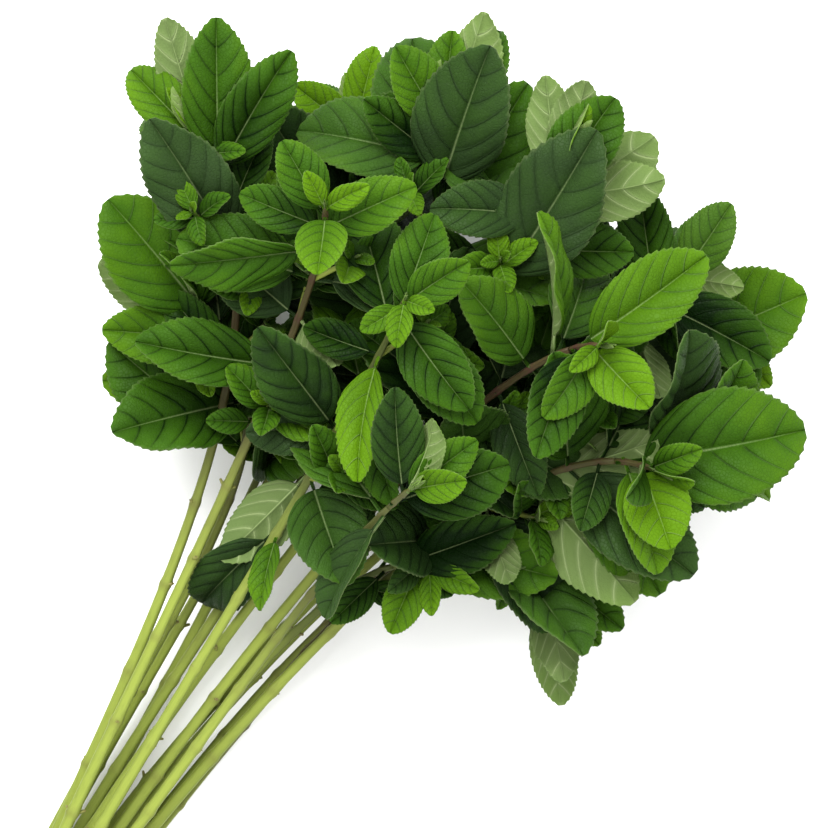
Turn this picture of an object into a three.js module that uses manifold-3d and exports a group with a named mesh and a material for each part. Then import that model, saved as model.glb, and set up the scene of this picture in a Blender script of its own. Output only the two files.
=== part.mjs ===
// A cut bunch of mint lying on its side: leafy sprigs whose stems are held by one rubber band.
// Millimetres, +Z up. The stems run along +Y, from their cut ends to the leafy crown.
// Each sprig is a stem, a tip (its end with the youngest leaf pairs) and one or two pairs of
// grown leaves, each pair joined by the ring that sits round the stem at its node.
import * as THREE from 'three';
import { mergeVertices } from 'three/addons/utils/BufferGeometryUtils.js';
import Module from 'manifold-3d';

const wasm = await Module();
wasm.setup();

// Stems and band
const STEM_RADIUS = 2.35; // half the width across the flats, at the cut end
const TIP_RADIUS = 0.85; // the same at the growing tip
const STEM_TAPER = 2.2; // how late along its length a stem thins
const CORNER_SHARE = 0.5; // half a stem's flat, as a share of its radius
const CORNER_REACH = Math.hypot(1, CORNER_SHARE); // from its middle to a corner, in radii
const COLUMN_PITCH = 5.7; // between stems side by side under the band
const LAYER_PITCH = 5.1; // between layers of stems under the band
const LAYER_WIDTHS = [1.5, 2, 1.5, 1]; // outermost column of each layer
const BAND_X = -26;
const BAND_Y = -262;
const BAND_WIDTH = 3;
const BAND_THICKNESS = 1;
const BAND_EASE = 0.6; // between the band and the stems' corners
const FOOT_LENGTH = 38; // from the band to the cut ends
const FOOT_SPLAY = 1.25; // how much wider the stems stand at the cut ends
const FOOT_RISE = 14; // handle that keeps a foot straight
const BAND_HANDLE = 12;
const CROWN_HANDLE = 150; // how far the stems run on straight above the band
const FOOT_STEPS = 8; // points measured along a foot
const CROWN_STEPS = 80; // and along the rest of a stem
const AXIS_STEP = 2; // each way, to find which way a stem runs
const LIFT = 2.05; // the band lies under the lowest stems
const STRAIGHT_LEAN = 0.015; // of the middle stems to the right as they leave the band
const FAN = 0.095; // further lean of the outermost ones
const STRAIGHT_RISE = 0.02; // of the lowest layer as it leaves the band
const LAYER_RISE = 0.07; // further rise of each layer above it
const STEM_STATIONS = 16; // sections along a stem
const TIP_STEM = 4; // length of stem in the tip below its oldest pair
const BUD_LENGTH = 1; // from the end of the stem to the top of the bud
const CLEARANCE = 0.1; // of the cut ends above the surface

// Leaves
const LEAF_LENGTH = 55; // a full-grown leaf with its stalk
const LEAF_THICKNESS = 0.9; // along the midrib
const LEAST_DROOP = 4.5; // degrees that a leaf bends from stalk to tip
const DROOP_SPREAD = 35;
const LEAST_FOLD = 14; // degrees that each half rises from the midrib
const FOLD_SPREAD = 10;
const LEAF_RINGS = 6; // rings of faces along a grown leaf
const BUD_RINGS = 3; // and along the youngest, with one more for each older pair of the tip
const STALK_SHARE = 0.1; // of the leaf's length
const STALK_RADIUS = 0.7;
const STALK_TAPER = 3; // how fast a stalk is lost in its blade
const TIP_PAIRS = 3; // youngest pairs, made in one with the tip
const FIRST_GAP = 2; // from the tip to the youngest pair
const GAP_GROWTH = 3.2; // how the distance of a pair grows with its number
const GAP_STRETCH = 1.6; // and with the square of it
const OUTLINE_SKEW = 0.92; // moves the widest place towards the stalk
const OUTLINE_FULLNESS = 0.8; // how blunt both ends are
const GROWTH_START = 0.55; // pairs of age that a bud leaf already has
const GROWTH_PAIRS = 1.9; // pairs until a leaf is most of its full size
const GROWTH_CURVE = 1.4;
const LEAST_LENGTH = 0.88; // share of the usual length, and how much more at most
const LENGTH_SPREAD = 0.25;
const LEAST_BREADTH = 0.54; // width as a share of the length, and how much more at most
const BREADTH_SPREAD = 0.1;
const SPIN_SPREAD = 16; // degrees of chance in the turn of a pair
const OPENING_START = 0.45; // how soon pairs lean out from the stem
const OPENING_PAIRS = 1.5;
const YOUNG_TURN = 0.15; // share of the turn to the sky of the two youngest pairs
const GROWN_TURN = 0.6; // and of the others
const YOUNG_PAIRS = 2;
const SURFACE_ROOM = 3; // the lowest tip of a leaf that is aimed down
const UPRIGHT = 0.15; // a leaf this near to upright has no side to turn to the sky
const SAMPLE_START = 0.15; // share of the leaf where its points start
const SAMPLE_ROWS = 9;
const SAMPLE_COLUMNS = 5;
const RING_WALL = 1.1;
const RING_EASE = 0.55; // between a ring and the corners of its stem
const RING_HEIGHT = 2.2;
const TIP_SEAT = 0.3; // how deep in the tip a stalk begins, as a share of the stem's radius
const RING_SEAT = 0.7; // and how far out in the wall of its ring
const OLD_SEAT = 0.9; // or how far from the middle of the stem, for pairs without a ring
const RING_SIDES = 6;
const GAP = 0.35; // between neighbours
const SURFACE = 0.55; // lowest height of a leaf's middle
const SOFTNESS = 2.5; // how gently a leaf bends as it meets the surface
const FAR_ABOVE = 30; // times the softness: from here up the surface isn't felt

// How a leaf may be moved to clear the ones before it, nearest to its natural place first:
// degrees of lean, degrees of spin about the stem, and share of the turn to the sky
const LEANS = [0, 12, -12, 24, -24, 36];
const SPINS = [0, 14, -14, 26, -26];
const TURNS = [0, 0.22, -0.22];
const LEAST_CLEARANCE = 2.6; // between two leaves, or a leaf and the middle of a stem
const STEEPEST_LEAN = 125; // degrees from the stem
const STEM_STRETCH = 16; // length of stem that is compared with leaves as one shape
const STEM_STEP = 4; // between the points measured on it
const NEAR = 4; // shapes whose balls are further apart than this aren't compared
const ANGLE_COST = 12; // degrees that count as one step of a nudge
const TURN_COST = 0.3;

const BAND_ARC_STEPS = 2;
const CHANCE_WEIGHTS = [12.9898, 78.233, 37.719, 54.471]; // uneven, so that each seed counts
const CHANCE_SCALE = 43758.5453; // large, so that near seeds give unlike numbers
const WELD = 1e-4; // points nearer than this are one
const TINY = 1e-6;

const LEAF_GREENS = [0x5fa82c, 0x2f7a24, 0x1c4f22];
const STEM_GREEN = 0xa6c65e;
const BAND_TAN = 0xc99a5b;
const STEM_ROUGHNESS = 0.5;
const LEAF_ROUGHNESS = 0.45;
const BAND_ROUGHNESS = 0.8;

// Places in the crown are right, up and height, on a plan turned by this much from the stems.
const PLAN_TURN = 30;

// One row per sprig. column and layer: its place under the band. tip: its top, on the plan.
// azimuth and elevation: where the tip points. roll: turn of its leaf pairs. size: of its leaves.
// ripe: age of its youngest pair. spread: lean of its oldest pair. handle: how early it turns to
// its aim. pairs: grown pairs of leaves.
const SPRIGS = [
  { column: -1.5, layer: 0, tip: [-79, 17, 34], azimuth: 216, elevation: 4, roll: 20,
    size: 1, ripe: 1.6, spread: 56, handle: 72, pairs: 2 },
  { column: -0.5, layer: 0, tip: [-23, 109, 38], azimuth: 130, elevation: 6, roll: 30,
    size: 1, ripe: 1.6, spread: 50, handle: 72, pairs: 2 },
  { column: 0.5, layer: 0, tip: [113, 32, 36], azimuth: 52, elevation: 4, roll: 45,
    size: 1.15, ripe: 1.8, spread: 48, handle: 72, pairs: 2 },
  { column: 1.5, layer: 0, tip: [52, -67, 34], azimuth: 322, elevation: 2, roll: 15,
    size: 1.05, ripe: 1.4, spread: 50, handle: 72, pairs: 2 },
  { column: -2, layer: 1, tip: [-82, 40, 62], azimuth: 172, elevation: 8, roll: 30,
    size: 1.05, ripe: 1.8, spread: 52, handle: 72, pairs: 1 },
  { column: -1, layer: 1, tip: [10, 108, 74], azimuth: 128, elevation: 14, roll: 40,
    size: 1.05, ripe: 1.6, spread: 50, handle: 72, pairs: 2 },
  { column: 0, layer: 1, tip: [100, 52, 66], azimuth: 72, elevation: 12, roll: 10,
    size: 1.05, ripe: 1.5, spread: 50, handle: 72, pairs: 2 },
  { column: 2, layer: 1, tip: [102, -8, 70], azimuth: 18, elevation: 12, roll: 30,
    size: 1.1, ripe: 1.7, spread: 53, handle: 72, pairs: 2 },
  { column: 1, layer: 1, tip: [7, -57, 68], azimuth: 5, elevation: 28, roll: 0,
    size: 0.85, ripe: 0, spread: 75, handle: 30, pairs: 2 },
  { column: -1.5, layer: 2, tip: [-78, 100, 90], azimuth: 152, elevation: 16, roll: 50,
    size: 1.1, ripe: 1.6, spread: 48, handle: 80, pairs: 1 },
  { column: -0.5, layer: 2, tip: [52, 85, 98], azimuth: 96, elevation: 24, roll: 70,
    size: 1.15, ripe: 2.2, spread: 58, handle: 72, pairs: 2 },
  { column: 0.5, layer: 2, tip: [66, 24, 114], azimuth: 20, elevation: 60, roll: 20,
    size: 0.95, ripe: 0.4, spread: 76, handle: 72, pairs: 1 },
  { column: 1.5, layer: 2, tip: [86, -20, 96], azimuth: 5, elevation: 45, roll: 0,
    size: 0.95, ripe: 0.5, spread: 74, handle: 72, pairs: 1 },
  { column: -1, layer: 3, tip: [-31, 72, 126], azimuth: 125, elevation: 70, roll: 15,
    size: 1, ripe: 0, spread: 80, handle: 72, pairs: 2 },
  { column: 0, layer: 3, tip: [-3, 40, 132], azimuth: 100, elevation: 72, roll: 50,
    size: 0.95, ripe: 0, spread: 80, handle: 72, pairs: 1 },
  { column: 1, layer: 3, tip: [-1, -26, 119], azimuth: 70, elevation: 58, roll: 60,
    size: 0.95, ripe: 0.8, spread: 78, handle: 72, pairs: 1 },
];

// Leaves whose place is set, one row each: sprig, pair, half, where the leaf's tip is on the
// plan, tilt of its upper face from the sky, and width as a share of its length. The older ones
// only keep their room here.
const SET_LEAVES = [
  [14, 0, 0, [-37, 84, 133], 0, 0.5],
  [14, 0, 1, [-16, 80, 132], 0, 0.5],
  [14, 1, 0, [-32, 48, 131], 0, 0.8],
  [14, 1, 1, [-46, 95, 124], 0, 0.6],
  [14, 2, 0, [1, 79, 122], 0, 0.55],
  [14, 2, 1, [-62, 77, 108], 0, 0.5],
  [14, 3, 0, [-86, 54, 112], -50, 0.45],
  [14, 3, 1, [-45, 92, 108], 0, 0.45],
  [14, 5, 0, [-72, 60, 84], 0, 0.7],
  [15, 0, 0, [-7, 23, 134], 0, 0.6],
  [15, 0, 1, [7, 35, 136], 0, 0.6],
  [15, 1, 0, [18, 54, 132], 0, 0.6],
  [15, 1, 1, [-18, 28, 126], 0, 0.55],
  [15, 2, 1, [17, 0, 124], 0, 0.55],
  [15, 4, 0, [-21, -24, 112], 35, 0.42],
  [15, 6, 0, [-61, -5, 84], 0, 0.6],
  [15, 6, 1, [-55, 31, 106], 0, 0.52],
  [15, 7, 0, [-71, -55, 58], 180, 0.5],
  [15, 7, 1, [-25, -62, 92], 0, 0.7],
  [15, 8, 0, [-66, -78, 52], 40, 0.5],
  [16, 0, 0, [8, -3, 130], 150, 0.5],
  [16, 0, 1, [18, -22, 128], 0, 0.6],
  [16, 1, 0, [-9, 9, 124], 0, 0.52],
  [16, 1, 1, [22, -9, 120], 0, 0.5],
  [16, 2, 0, [33, -16, 108], 0, 0.66],
  [16, 3, 0, [-31, -75, 90], 60, 0.5],
  [12, 0, 0, [55, 14, 121], 0, 0.5],
  [12, 1, 0, [81, 1, 120], 0, 0.66],
  [12, 2, 0, [40, -14, 118], 0, 0.5],
  [12, 2, 1, [105, 54, 106], 0, 0.5],
  [12, 3, 0, [43, 70, 120], 75, 0.4],
  [13, 0, 0, [102, -12, 106], 0, 0.55],
  [13, 1, 0, [92, -48, 100], 0, 0.8],
  [13, 2, 0, [142, -9, 84], 0, 0.64],
  [13, 4, 0, [99, -61, 82], 0, 0.55],
  [13, 5, 0, [82, -68, 72], 180, 0.5],
  [13, 6, 0, [34, -61, 84], 170, 0.42],
  [9, 0, 0, [7, -74, 72], 0, 0.5],
  [9, 0, 1, [24, -64, 75], 0, 0.5],
  [9, 1, 0, [-10, -80, 68], 0, 0.6],
  [9, 1, 1, [-10, -64, 78], 0, 0.5],
  [9, 2, 0, [37, -40, 76], 0, 0.5],
  [10, 0, 0, [-92, 141, 94], 165, 0.42],
  [10, 0, 1, [-103, 125, 80], 0, 0.5],
  [10, 2, 0, [-71, 142, 96], 0, 0.48],
  [10, 2, 1, [-46, 131, 98], 0, 0.45],
  [10, 4, 0, [-91, 106, 106], 0, 0.52],
  [10, 7, 0, [-114, 26, 58], 0, 0.6],
  [5, 0, 0, [-92, 58, 86], 80, 0.4],
  [5, 1, 0, [-110, 80, 74], 0, 0.66],
  [5, 1, 1, [-118, 55, 56], 180, 0.5],
  [1, 1, 1, [-115, 32, 44], 165, 0.55],
  [1, 2, 1, [-118, 12, 38], 0, 0.6],
  [2, 0, 0, [-14, 138, 46], 0, 0.5],
  [2, 0, 1, [-46, 123, 46], 0, 0.6],
  [6, 0, 0, [-8, 132, 84], 0, 0.65],
  [6, 1, 0, [24, 147, 78], 150, 0.5],
  [6, 2, 1, [-19, 113, 84], 0, 0.5],
  [6, 3, 0, [25, 132, 100], 0, 0.6],
  [6, 4, 1, [43, 121, 68], 0, 0.5],
  [11, 0, 0, [62, 118, 104], 170, 0.55],
  [11, 0, 1, [48, 122, 90], 180, 0.5],
  [11, 1, 1, [90, 84, 94], 165, 0.55],
  [11, 2, 0, [85, 103, 84], 170, 0.66],
  [11, 2, 1, [6, 76, 98], 0, 0.55],
  [11, 4, 0, [68, 98, 108], 0, 0.55],
  [7, 0, 0, [117, 76, 76], 0, 0.6],
  [7, 0, 1, [122, 48, 64], 180, 0.6],
  [7, 3, 0, [90, 6, 88], 160, 0.42],
  [3, 0, 0, [136, 12, 40], 0, 0.5],
  [3, 2, 0, [147, 43, 54], 0, 0.72],
  [8, 4, 0, [93, -66, 58], 0, 0.5],
  [4, 0, 0, [53, -110, 42], 180, 0.42],
  [4, 1, 0, [57, -99, 60], 175, 0.4],
  [4, 2, 0, [78, -81, 48], 0, 0.5],
  [5, 2, 0, [-115, 29, 66], 0, 0.55],
  [5, 3, 0, [-52, 42, 62], 0, 0.5],
  [5, 5, 1, [-84, 8, 54], 0, 0.5],
  [10, 1, 0, [-98, 112, 62], 0, 0.55],
  [10, 1, 1, [-60, 94, 98], 0, 0.45],
  [10, 4, 1, [-100, 66, 60], 0, 0.55],
  [10, 6, 0, [-92, 44, 66], 0, 0.55],
  [10, 7, 1, [-98, 36, 46], 0, 0.5],
  [9, 2, 1, [14, -68, 56], 0, 0.5],
  [9, 3, 0, [-31, -77, 62], 0, 0.5],
  [9, 4, 0, [2, -70, 50], 0, 0.5],
  [13, 3, 0, [60, -42, 96], 0, 0.55],
  [13, 5, 1, [87, -7, 92], 160, 0.48],
  [11, 1, 0, [70, 114, 98], 0, 0.62],
  [11, 3, 0, [80, 58, 78], 0, 0.55],
  [11, 4, 1, [-2, 66, 74], 0, 0.5],
  [11, 6, 0, [20, 60, 88], 0, 0.55],
  [6, 0, 1, [14, 140, 76], 0, 0.55],
  [6, 1, 1, [32, 141, 66], 0, 0.55],
  [8, 1, 1, [116, -30, 84], 0, 0.55],
  [8, 2, 1, [130, -29, 46], 0, 0.55],
  [8, 3, 0, [108, -34, 62], 0, 0.5],
  [8, 5, 1, [68, -46, 60], 0, 0.5],
  [3, 0, 1, [134, 34, 34], 0, 0.5],
  [3, 1, 0, [118, 58, 22], 0, 0.55],
  [7, 1, 1, [98, 20, 86], 60, 0.4],
  [14, 5, 1, [-28, 17, 98], 170, 0.75],
  [14, 6, 0, [-101, 23, 86], 0, 0.5],
  [14, 7, 0, [-76, -2, 76], 0, 0.55],
  [15, 2, 0, [8, 70, 112], 0, 0.55],
  [15, 4, 1, [-40, 30, 94], 0, 0.5],
  [15, 5, 1, [-5, -32, 98], 20, 0.45],
  [15, 8, 1, [-80, -72, 42], 0, 0.5],
  [1, 2, 0, [-86, -2, 20], 0, 0.55],
  [4, 0, 1, [70, -88, 36], 0, 0.5],
  [4, 1, 1, [38, -72, 30], 0, 0.5],
  [12, 5, 1, [44, -30, 80], 0, 0.5],
  [1, 0, 1, [-94, 2, 30], 0, 0.5],
  [2, 1, 0, [-40, 124, 10], 0, 0.5],
  [3, 2, 1, [136, 18, 14], 0, 0.5],
  [4, 2, 1, [25, -57, 12], 0, 0.5],
  [4, 4, 0, [33, -68, 16], 0, 0.5],
  [7, 1, 0, [113, 70, 40], 0, 0.55],
  [7, 2, 0, [84, 85, 60], 0, 0.5],
  [8, 1, 0, [128, 18, 58], 0, 0.5],
  [10, 3, 1, [-92, 96, 50], 0, 0.5],
  [2, 1, 1, [-4, 118, 52], 0, 0.5],
  [3, 1, 1, [131, 5, 26], 0, 0.5],
  [5, 0, 1, [-73, 56, 64], 0, 0.5],
  [10, 3, 0, [-55, 104, 80], 0, 0.5],
  [10, 5, 0, [-57, 65, 50], 0, 0.5],
  [11, 5, 1, [54, 54, 70], 0, 0.6],
];

const UP = new THREE.Vector3(0, 0, 1);
const radians = THREE.MathUtils.degToRad;

// A repeatable number from 0 to 1 for up to four whole numbers.
function chance(...seeds) {
  const sum = seeds.reduce((total, seed, place) => total + seed * CHANCE_WEIGHTS[place], 0);
  const wide = Math.sin(sum) * CHANCE_SCALE;
  return wide - Math.floor(wide);
}

function mix(from, to, share) {
  return from + (to - from) * share;
}

// ---- Stems ----

// Where a stem's middle runs, as points close enough together to measure along.
class StemLine {
  constructor(row) {
    const height = STEM_RADIUS + LIFT + row.layer * LAYER_PITCH;
    const side = row.column * COLUMN_PITCH;
    const waist = new THREE.Vector3(BAND_X + side, BAND_Y, height);
    const lean = STRAIGHT_LEAN + FAN * row.column / LAYER_WIDTHS[row.layer];
    const rise = new THREE.Vector3(lean, 1, STRAIGHT_RISE + LAYER_RISE * row.layer).normalize();
    const footHeight = STEM_RADIUS + CLEARANCE + row.layer * LAYER_PITCH * FOOT_SPLAY;
    const foot = new THREE.Vector3(BAND_X + side * FOOT_SPLAY, BAND_Y - FOOT_LENGTH, footHeight);
    const tip = planPlace(row.tip);
    this.aim = direction(row.azimuth, row.elevation);
    const below = new THREE.CubicBezierCurve3(
      foot,
      foot.clone().add(new THREE.Vector3(0, FOOT_RISE, 0)),
      waist.clone().addScaledVector(rise, -BAND_HANDLE),
      waist,
    );
    const above = new THREE.CubicBezierCurve3(
      waist,
      waist.clone().addScaledVector(rise, CROWN_HANDLE),
      tip.clone().addScaledVector(this.aim, -row.handle),
      tip,
    );
    this.points = [...below.getPoints(FOOT_STEPS).slice(0, -1), ...above.getPoints(CROWN_STEPS)];
    this.reach = [0];
    for (let i = 1; i < this.points.length; i += 1) {
      this.reach.push(this.reach[i - 1] + this.points[i].distanceTo(this.points[i - 1]));
    }
    this.length = this.reach.at(-1);
    this.waist = this.reach[FOOT_STEPS]; // distance of the band
    this.sides = this.carriedSides();
  }

  // A sideways direction at each point, carried along the stem without spinning.
  carriedSides() {
    const sides = [];
    let side = new THREE.Vector3(1, 0, 0);
    for (let i = 0; i < this.points.length; i += 1) {
      const before = this.points[Math.max(i - 1, 0)];
      const after = this.points[Math.min(i + 1, this.points.length - 1)];
      const along = after.clone().sub(before).normalize();
      side = side.clone().addScaledVector(along, -along.dot(side)).normalize();
      sides.push(side);
    }
    return sides;
  }

  blend(values, distance) {
    const place = Math.min(Math.max(distance, 0), this.length);
    let i = 1;
    while (i < this.reach.length - 1 && this.reach[i] < place) i += 1;
    const share = (place - this.reach[i - 1]) / (this.reach[i] - this.reach[i - 1]);
    return values[i - 1].clone().lerp(values[i], share);
  }

  at(distance) {
    return this.blend(this.points, distance);
  }

  // Along the stem, sideways, and square to both.
  axes(distance) {
    const ahead = this.at(distance + AXIS_STEP);
    const along = ahead.sub(this.at(distance - AXIS_STEP)).normalize();
    const side = this.blend(this.sides, distance);
    side.addScaledVector(along, -along.dot(side)).normalize();
    return { along, side, across: new THREE.Vector3().crossVectors(along, side) };
  }

  radius(distance) {
    const share = Math.min(Math.max(distance / this.length, 0), 1);
    return TIP_RADIUS + (STEM_RADIUS - TIP_RADIUS) * (1 - share ** STEM_TAPER);
  }
}

// A place on the plan, in the part's own directions.
function planPlace(place) {
  return new THREE.Vector3(...place).applyAxisAngle(UP, radians(PLAN_TURN));
}

function direction(azimuth, elevation) {
  const turn = radians(azimuth);
  const tilt = radians(elevation);
  return new THREE.Vector3(
    Math.cos(turn) * Math.cos(tilt),
    Math.sin(turn) * Math.cos(tilt),
    Math.sin(tilt),
  );
}

// Distance of a leaf pair from the tip: pairs stand further apart as they age.
function pairDistance(row, pair) {
  return (FIRST_GAP + GAP_GROWTH * pair + GAP_STRETCH * pair * pair) * row.size;
}

// A square section with its corners cut off, one unit from middle to flat.
function stemSection() {
  const c = CORNER_SHARE;
  const corners = [[1, -c], [1, c], [c, 1], [-c, 1], [-1, c], [-1, -c], [-c, -1], [c, -1]];
  return new THREE.Shape(corners.map(([x, y]) => new THREE.Vector2(x, y)));
}

// The stem from one distance to another, with its sections at the given stations.
function stemSolid(line, stations, extra) {
  const steps = stations.length - 1;
  const geometry = new THREE.ExtrudeGeometry(stemSection(), { depth: steps, steps, bevelEnabled: false });
  const position = geometry.getAttribute('position');
  const point = new THREE.Vector3();
  for (let i = 0; i < position.count; i += 1) {
    point.fromBufferAttribute(position, i);
    const distance = stations[Math.round(point.z)];
    const { side, across } = line.axes(distance);
    const radius = line.radius(distance) + extra;
    const place = line.at(distance);
    place.addScaledVector(side, point.x * radius).addScaledVector(across, point.y * radius);
    position.setXYZ(i, ...place);
  }
  return solidOf(geometry);
}

// Even stations with the nearest moved to the band and to each leaf pair's node, which fit closely.
function stemStations(line, end, nodes) {
  const last = STEM_STATIONS - 1;
  const stations = Array.from({ length: STEM_STATIONS }, (_, i) => end * i / last);
  for (const node of nodes) {
    let nearest = 1;
    for (let i = 2; i < last; i += 1) {
      if (Math.abs(stations[i] - node) < Math.abs(stations[nearest] - node)) nearest = i;
    }
    stations[nearest] = node;
  }
  return stations;
}

// ---- Leaves ----

// Height after a soft meeting with the surface, and how much of a slope is left there.
function press(height) {
  const depth = (height - SURFACE) / SOFTNESS;
  if (depth > FAR_ABOVE) return { height, slope: 1 };
  const rise = Math.exp(depth);
  return { height: SURFACE + SOFTNESS * Math.log1p(rise), slope: rise / (1 + rise) };
}

class Leaf {
  constructor(base, along, facing, length, width, droop, fold) {
    Object.assign(this, { base, along, facing, length, width, droop, fold });
    this.side = new THREE.Vector3().crossVectors(facing, along);
  }

  halfWidth(share) {
    const blade = (share - STALK_SHARE) / (1 - STALK_SHARE);
    if (blade < 0) return STALK_RADIUS;
    const outline = Math.sin(Math.PI * Math.min(blade, 1) ** OUTLINE_SKEW) ** OUTLINE_FULLNESS;
    const stalk = STALK_RADIUS * Math.max(1 - STALK_TAPER * blade, 0);
    return Math.max(stalk, this.width / 2 * outline);
  }

  // share runs from stalk to tip, across from edge to edge, height from the blade's middle.
  point(share, across, height) {
    const bend = this.droop * share;
    const reach = this.length * Math.sin(bend) / this.droop;
    const drop = -this.length * (1 - Math.cos(bend)) / this.droop;
    const upright = this.facing.clone().multiplyScalar(Math.cos(bend));
    upright.addScaledVector(this.along, Math.sin(bend));
    const out = this.halfWidth(share) * across;
    const place = this.base.clone().addScaledVector(this.along, reach);
    place.addScaledVector(this.facing, drop);
    place.addScaledVector(this.side, out * Math.cos(this.fold));
    place.addScaledVector(upright, Math.abs(out) * Math.sin(this.fold));
    const pressed = press(place.z);
    place.z = pressed.height;
    upright.x *= pressed.slope;
    upright.y *= pressed.slope;
    return place.addScaledVector(upright.normalize(), height);
  }

  // Points all over the blade, to measure how near two leaves come.
  samples() {
    const points = [];
    for (let i = 0; i < SAMPLE_ROWS; i += 1) {
      const share = mix(SAMPLE_START, 1, i / (SAMPLE_ROWS - 1));
      for (let j = 0; j < SAMPLE_COLUMNS; j += 1) {
        points.push(this.point(share, mix(-1, 1, j / (SAMPLE_COLUMNS - 1)), 0));
      }
    }
    return points;
  }

  // A closed blade with a ridge along the middle of each face and sharp edges.
  solid(rings, extra) {
    const geometry = new THREE.SphereGeometry(1, 4, rings);
    const position = geometry.getAttribute('position');
    for (let i = 0; i < position.count; i += 1) {
      const polar = Math.hypot(position.getX(i), position.getZ(i));
      const share = (1 - position.getY(i)) / 2;
      const across = polar > TINY ? position.getX(i) / polar : 0;
      const ridge = polar > TINY ? position.getZ(i) / polar : 0;
      const half = mix(STALK_RADIUS, LEAF_THICKNESS / 2, Math.min(share / STALK_SHARE, 1)) + extra;
      const wider = 1 + extra / Math.max(this.halfWidth(share), extra);
      const longer = share + (share - 0.5) * 2 * extra / this.length;
      position.setXYZ(i, ...this.point(longer, across * wider, ridge * half));
    }
    return solidOf(geometry);
  }
}

// Turns a leaf's upper face part of the way to the sky, about the leaf's own length.
function turnUp(facing, along, share) {
  const sky = UP.clone().addScaledVector(along, -along.z);
  if (sky.length() < UPRIGHT) return facing;
  sky.normalize();
  const turn = Math.atan2(new THREE.Vector3().crossVectors(facing, sky).dot(along), facing.dot(sky));
  return facing.clone().applyAxisAngle(along, turn * share);
}

// Keeps a leaf from being aimed into the surface, and its upper face square to it.
function clearSurface(along, facing, base, length) {
  const lowest = -Math.max(base.z - SURFACE_ROOM, 0) / length;
  if (along.z >= lowest) return;
  const level = Math.hypot(along.x, along.y);
  const wanted = Math.sqrt(1 - lowest * lowest);
  along.set(along.x * wanted / level, along.y * wanted / level, lowest);
  facing.addScaledVector(along, -along.dot(facing)).normalize();
}

// How far from the stem's middle a stalk begins: inside the tip, in the wall of its ring, or just
// inside the stem for the older pairs, which only keep their room.
function seat(sprig, distance, pair) {
  const radius = sprig.line.radius(distance);
  if (pair < TIP_PAIRS) return radius * TIP_SEAT;
  if (pair >= TIP_PAIRS + sprig.row.pairs) return radius * OLD_SEAT;
  return radius * CORNER_REACH + RING_EASE + RING_WALL * RING_SEAT;
}

function leafDroop(number, pair, half) {
  return radians(LEAST_DROOP + DROOP_SPREAD * chance(number, pair, half, 2));
}

function leafFold(number, pair, half) {
  return radians(LEAST_FOLD + FOLD_SPREAD * chance(number, pair, half, 3));
}

// One leaf of a pair, moved from its natural place by a nudge.
function makeLeaf(sprig, number, pair, half, nudge) {
  const { row, line } = sprig;
  const distance = line.length - pairDistance(row, pair);
  const { along: stem, side, across } = line.axes(distance);
  const usualSpin = row.roll + 90 * pair + SPIN_SPREAD * (chance(number, pair) - 0.5) + 180 * half;
  const spin = radians(usualSpin + nudge.spin);
  const out = side.clone().multiplyScalar(Math.cos(spin)).addScaledVector(across, Math.sin(spin));
  const age = (pair + row.ripe + GROWTH_START) / GROWTH_PAIRS;
  const grown = LEAF_LENGTH * row.size * (1 - Math.exp(-(age ** GROWTH_CURVE)));
  const length = grown * (LEAST_LENGTH + LENGTH_SPREAD * chance(number, pair, half));
  const width = length * (LEAST_BREADTH + BREADTH_SPREAD * chance(number, pair, half, 1));
  const usualLean = row.spread * (1 - Math.exp(-(pair + OPENING_START) / OPENING_PAIRS));
  const lean = radians(Math.min(usualLean + nudge.lean, STEEPEST_LEAN));
  const along = stem.clone().multiplyScalar(Math.cos(lean)).addScaledVector(out, Math.sin(lean));
  let facing = stem.clone().multiplyScalar(Math.sin(lean)).addScaledVector(out, -Math.cos(lean));
  const base = line.at(distance).addScaledVector(out, seat(sprig, distance, pair));
  clearSurface(along, facing, base, length);
  const usualTurn = pair < YOUNG_PAIRS ? YOUNG_TURN : GROWN_TURN;
  facing = turnUp(facing, along, usualTurn + nudge.turn);
  const droop = leafDroop(number, pair, half);
  const fold = leafFold(number, pair, half);
  return new Leaf(base, along, facing, length, width, droop, fold);
}

// A leaf that reaches from its stem's node to a set place.
function setLeaf(sprig, number, pair, half, place, tilt, breadth) {
  const { row, line } = sprig;
  const distance = line.length - pairDistance(row, pair);
  const node = line.at(distance);
  const stem = line.axes(distance).along;
  const goal = planPlace(place);
  const out = goal.clone().sub(node);
  out.addScaledVector(stem, -out.dot(stem)).normalize();
  const base = node.addScaledVector(out, seat(sprig, distance, pair));
  const chord = goal.sub(base);
  const span = chord.length();
  chord.normalize();
  const facing = UP.clone().addScaledVector(chord, -chord.z).normalize();
  facing.applyAxisAngle(chord, radians(tilt));
  const droop = leafDroop(number, pair, half);
  const along = chord.clone().multiplyScalar(Math.cos(droop / 2));
  along.addScaledVector(facing, Math.sin(droop / 2));
  facing.multiplyScalar(Math.cos(droop / 2)).addScaledVector(chord, -Math.sin(droop / 2));
  const length = span * (droop / 2) / Math.sin(droop / 2);
  const fold = leafFold(number, pair, half);
  return new Leaf(base, along, facing, length, length * breadth, droop, fold);
}

// ---- Keeping leaves apart ----

function nudges() {
  const all = [];
  for (const lean of LEANS) {
    for (const spin of SPINS) {
      for (const turn of TURNS) {
        const angles = Math.abs(lean) + Math.abs(spin);
        const cost = angles / ANGLE_COST + Math.abs(turn) / TURN_COST;
        all.push({ lean, spin, turn, cost });
      }
    }
  }
  return all.sort((one, other) => one.cost - other.cost);
}

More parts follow.
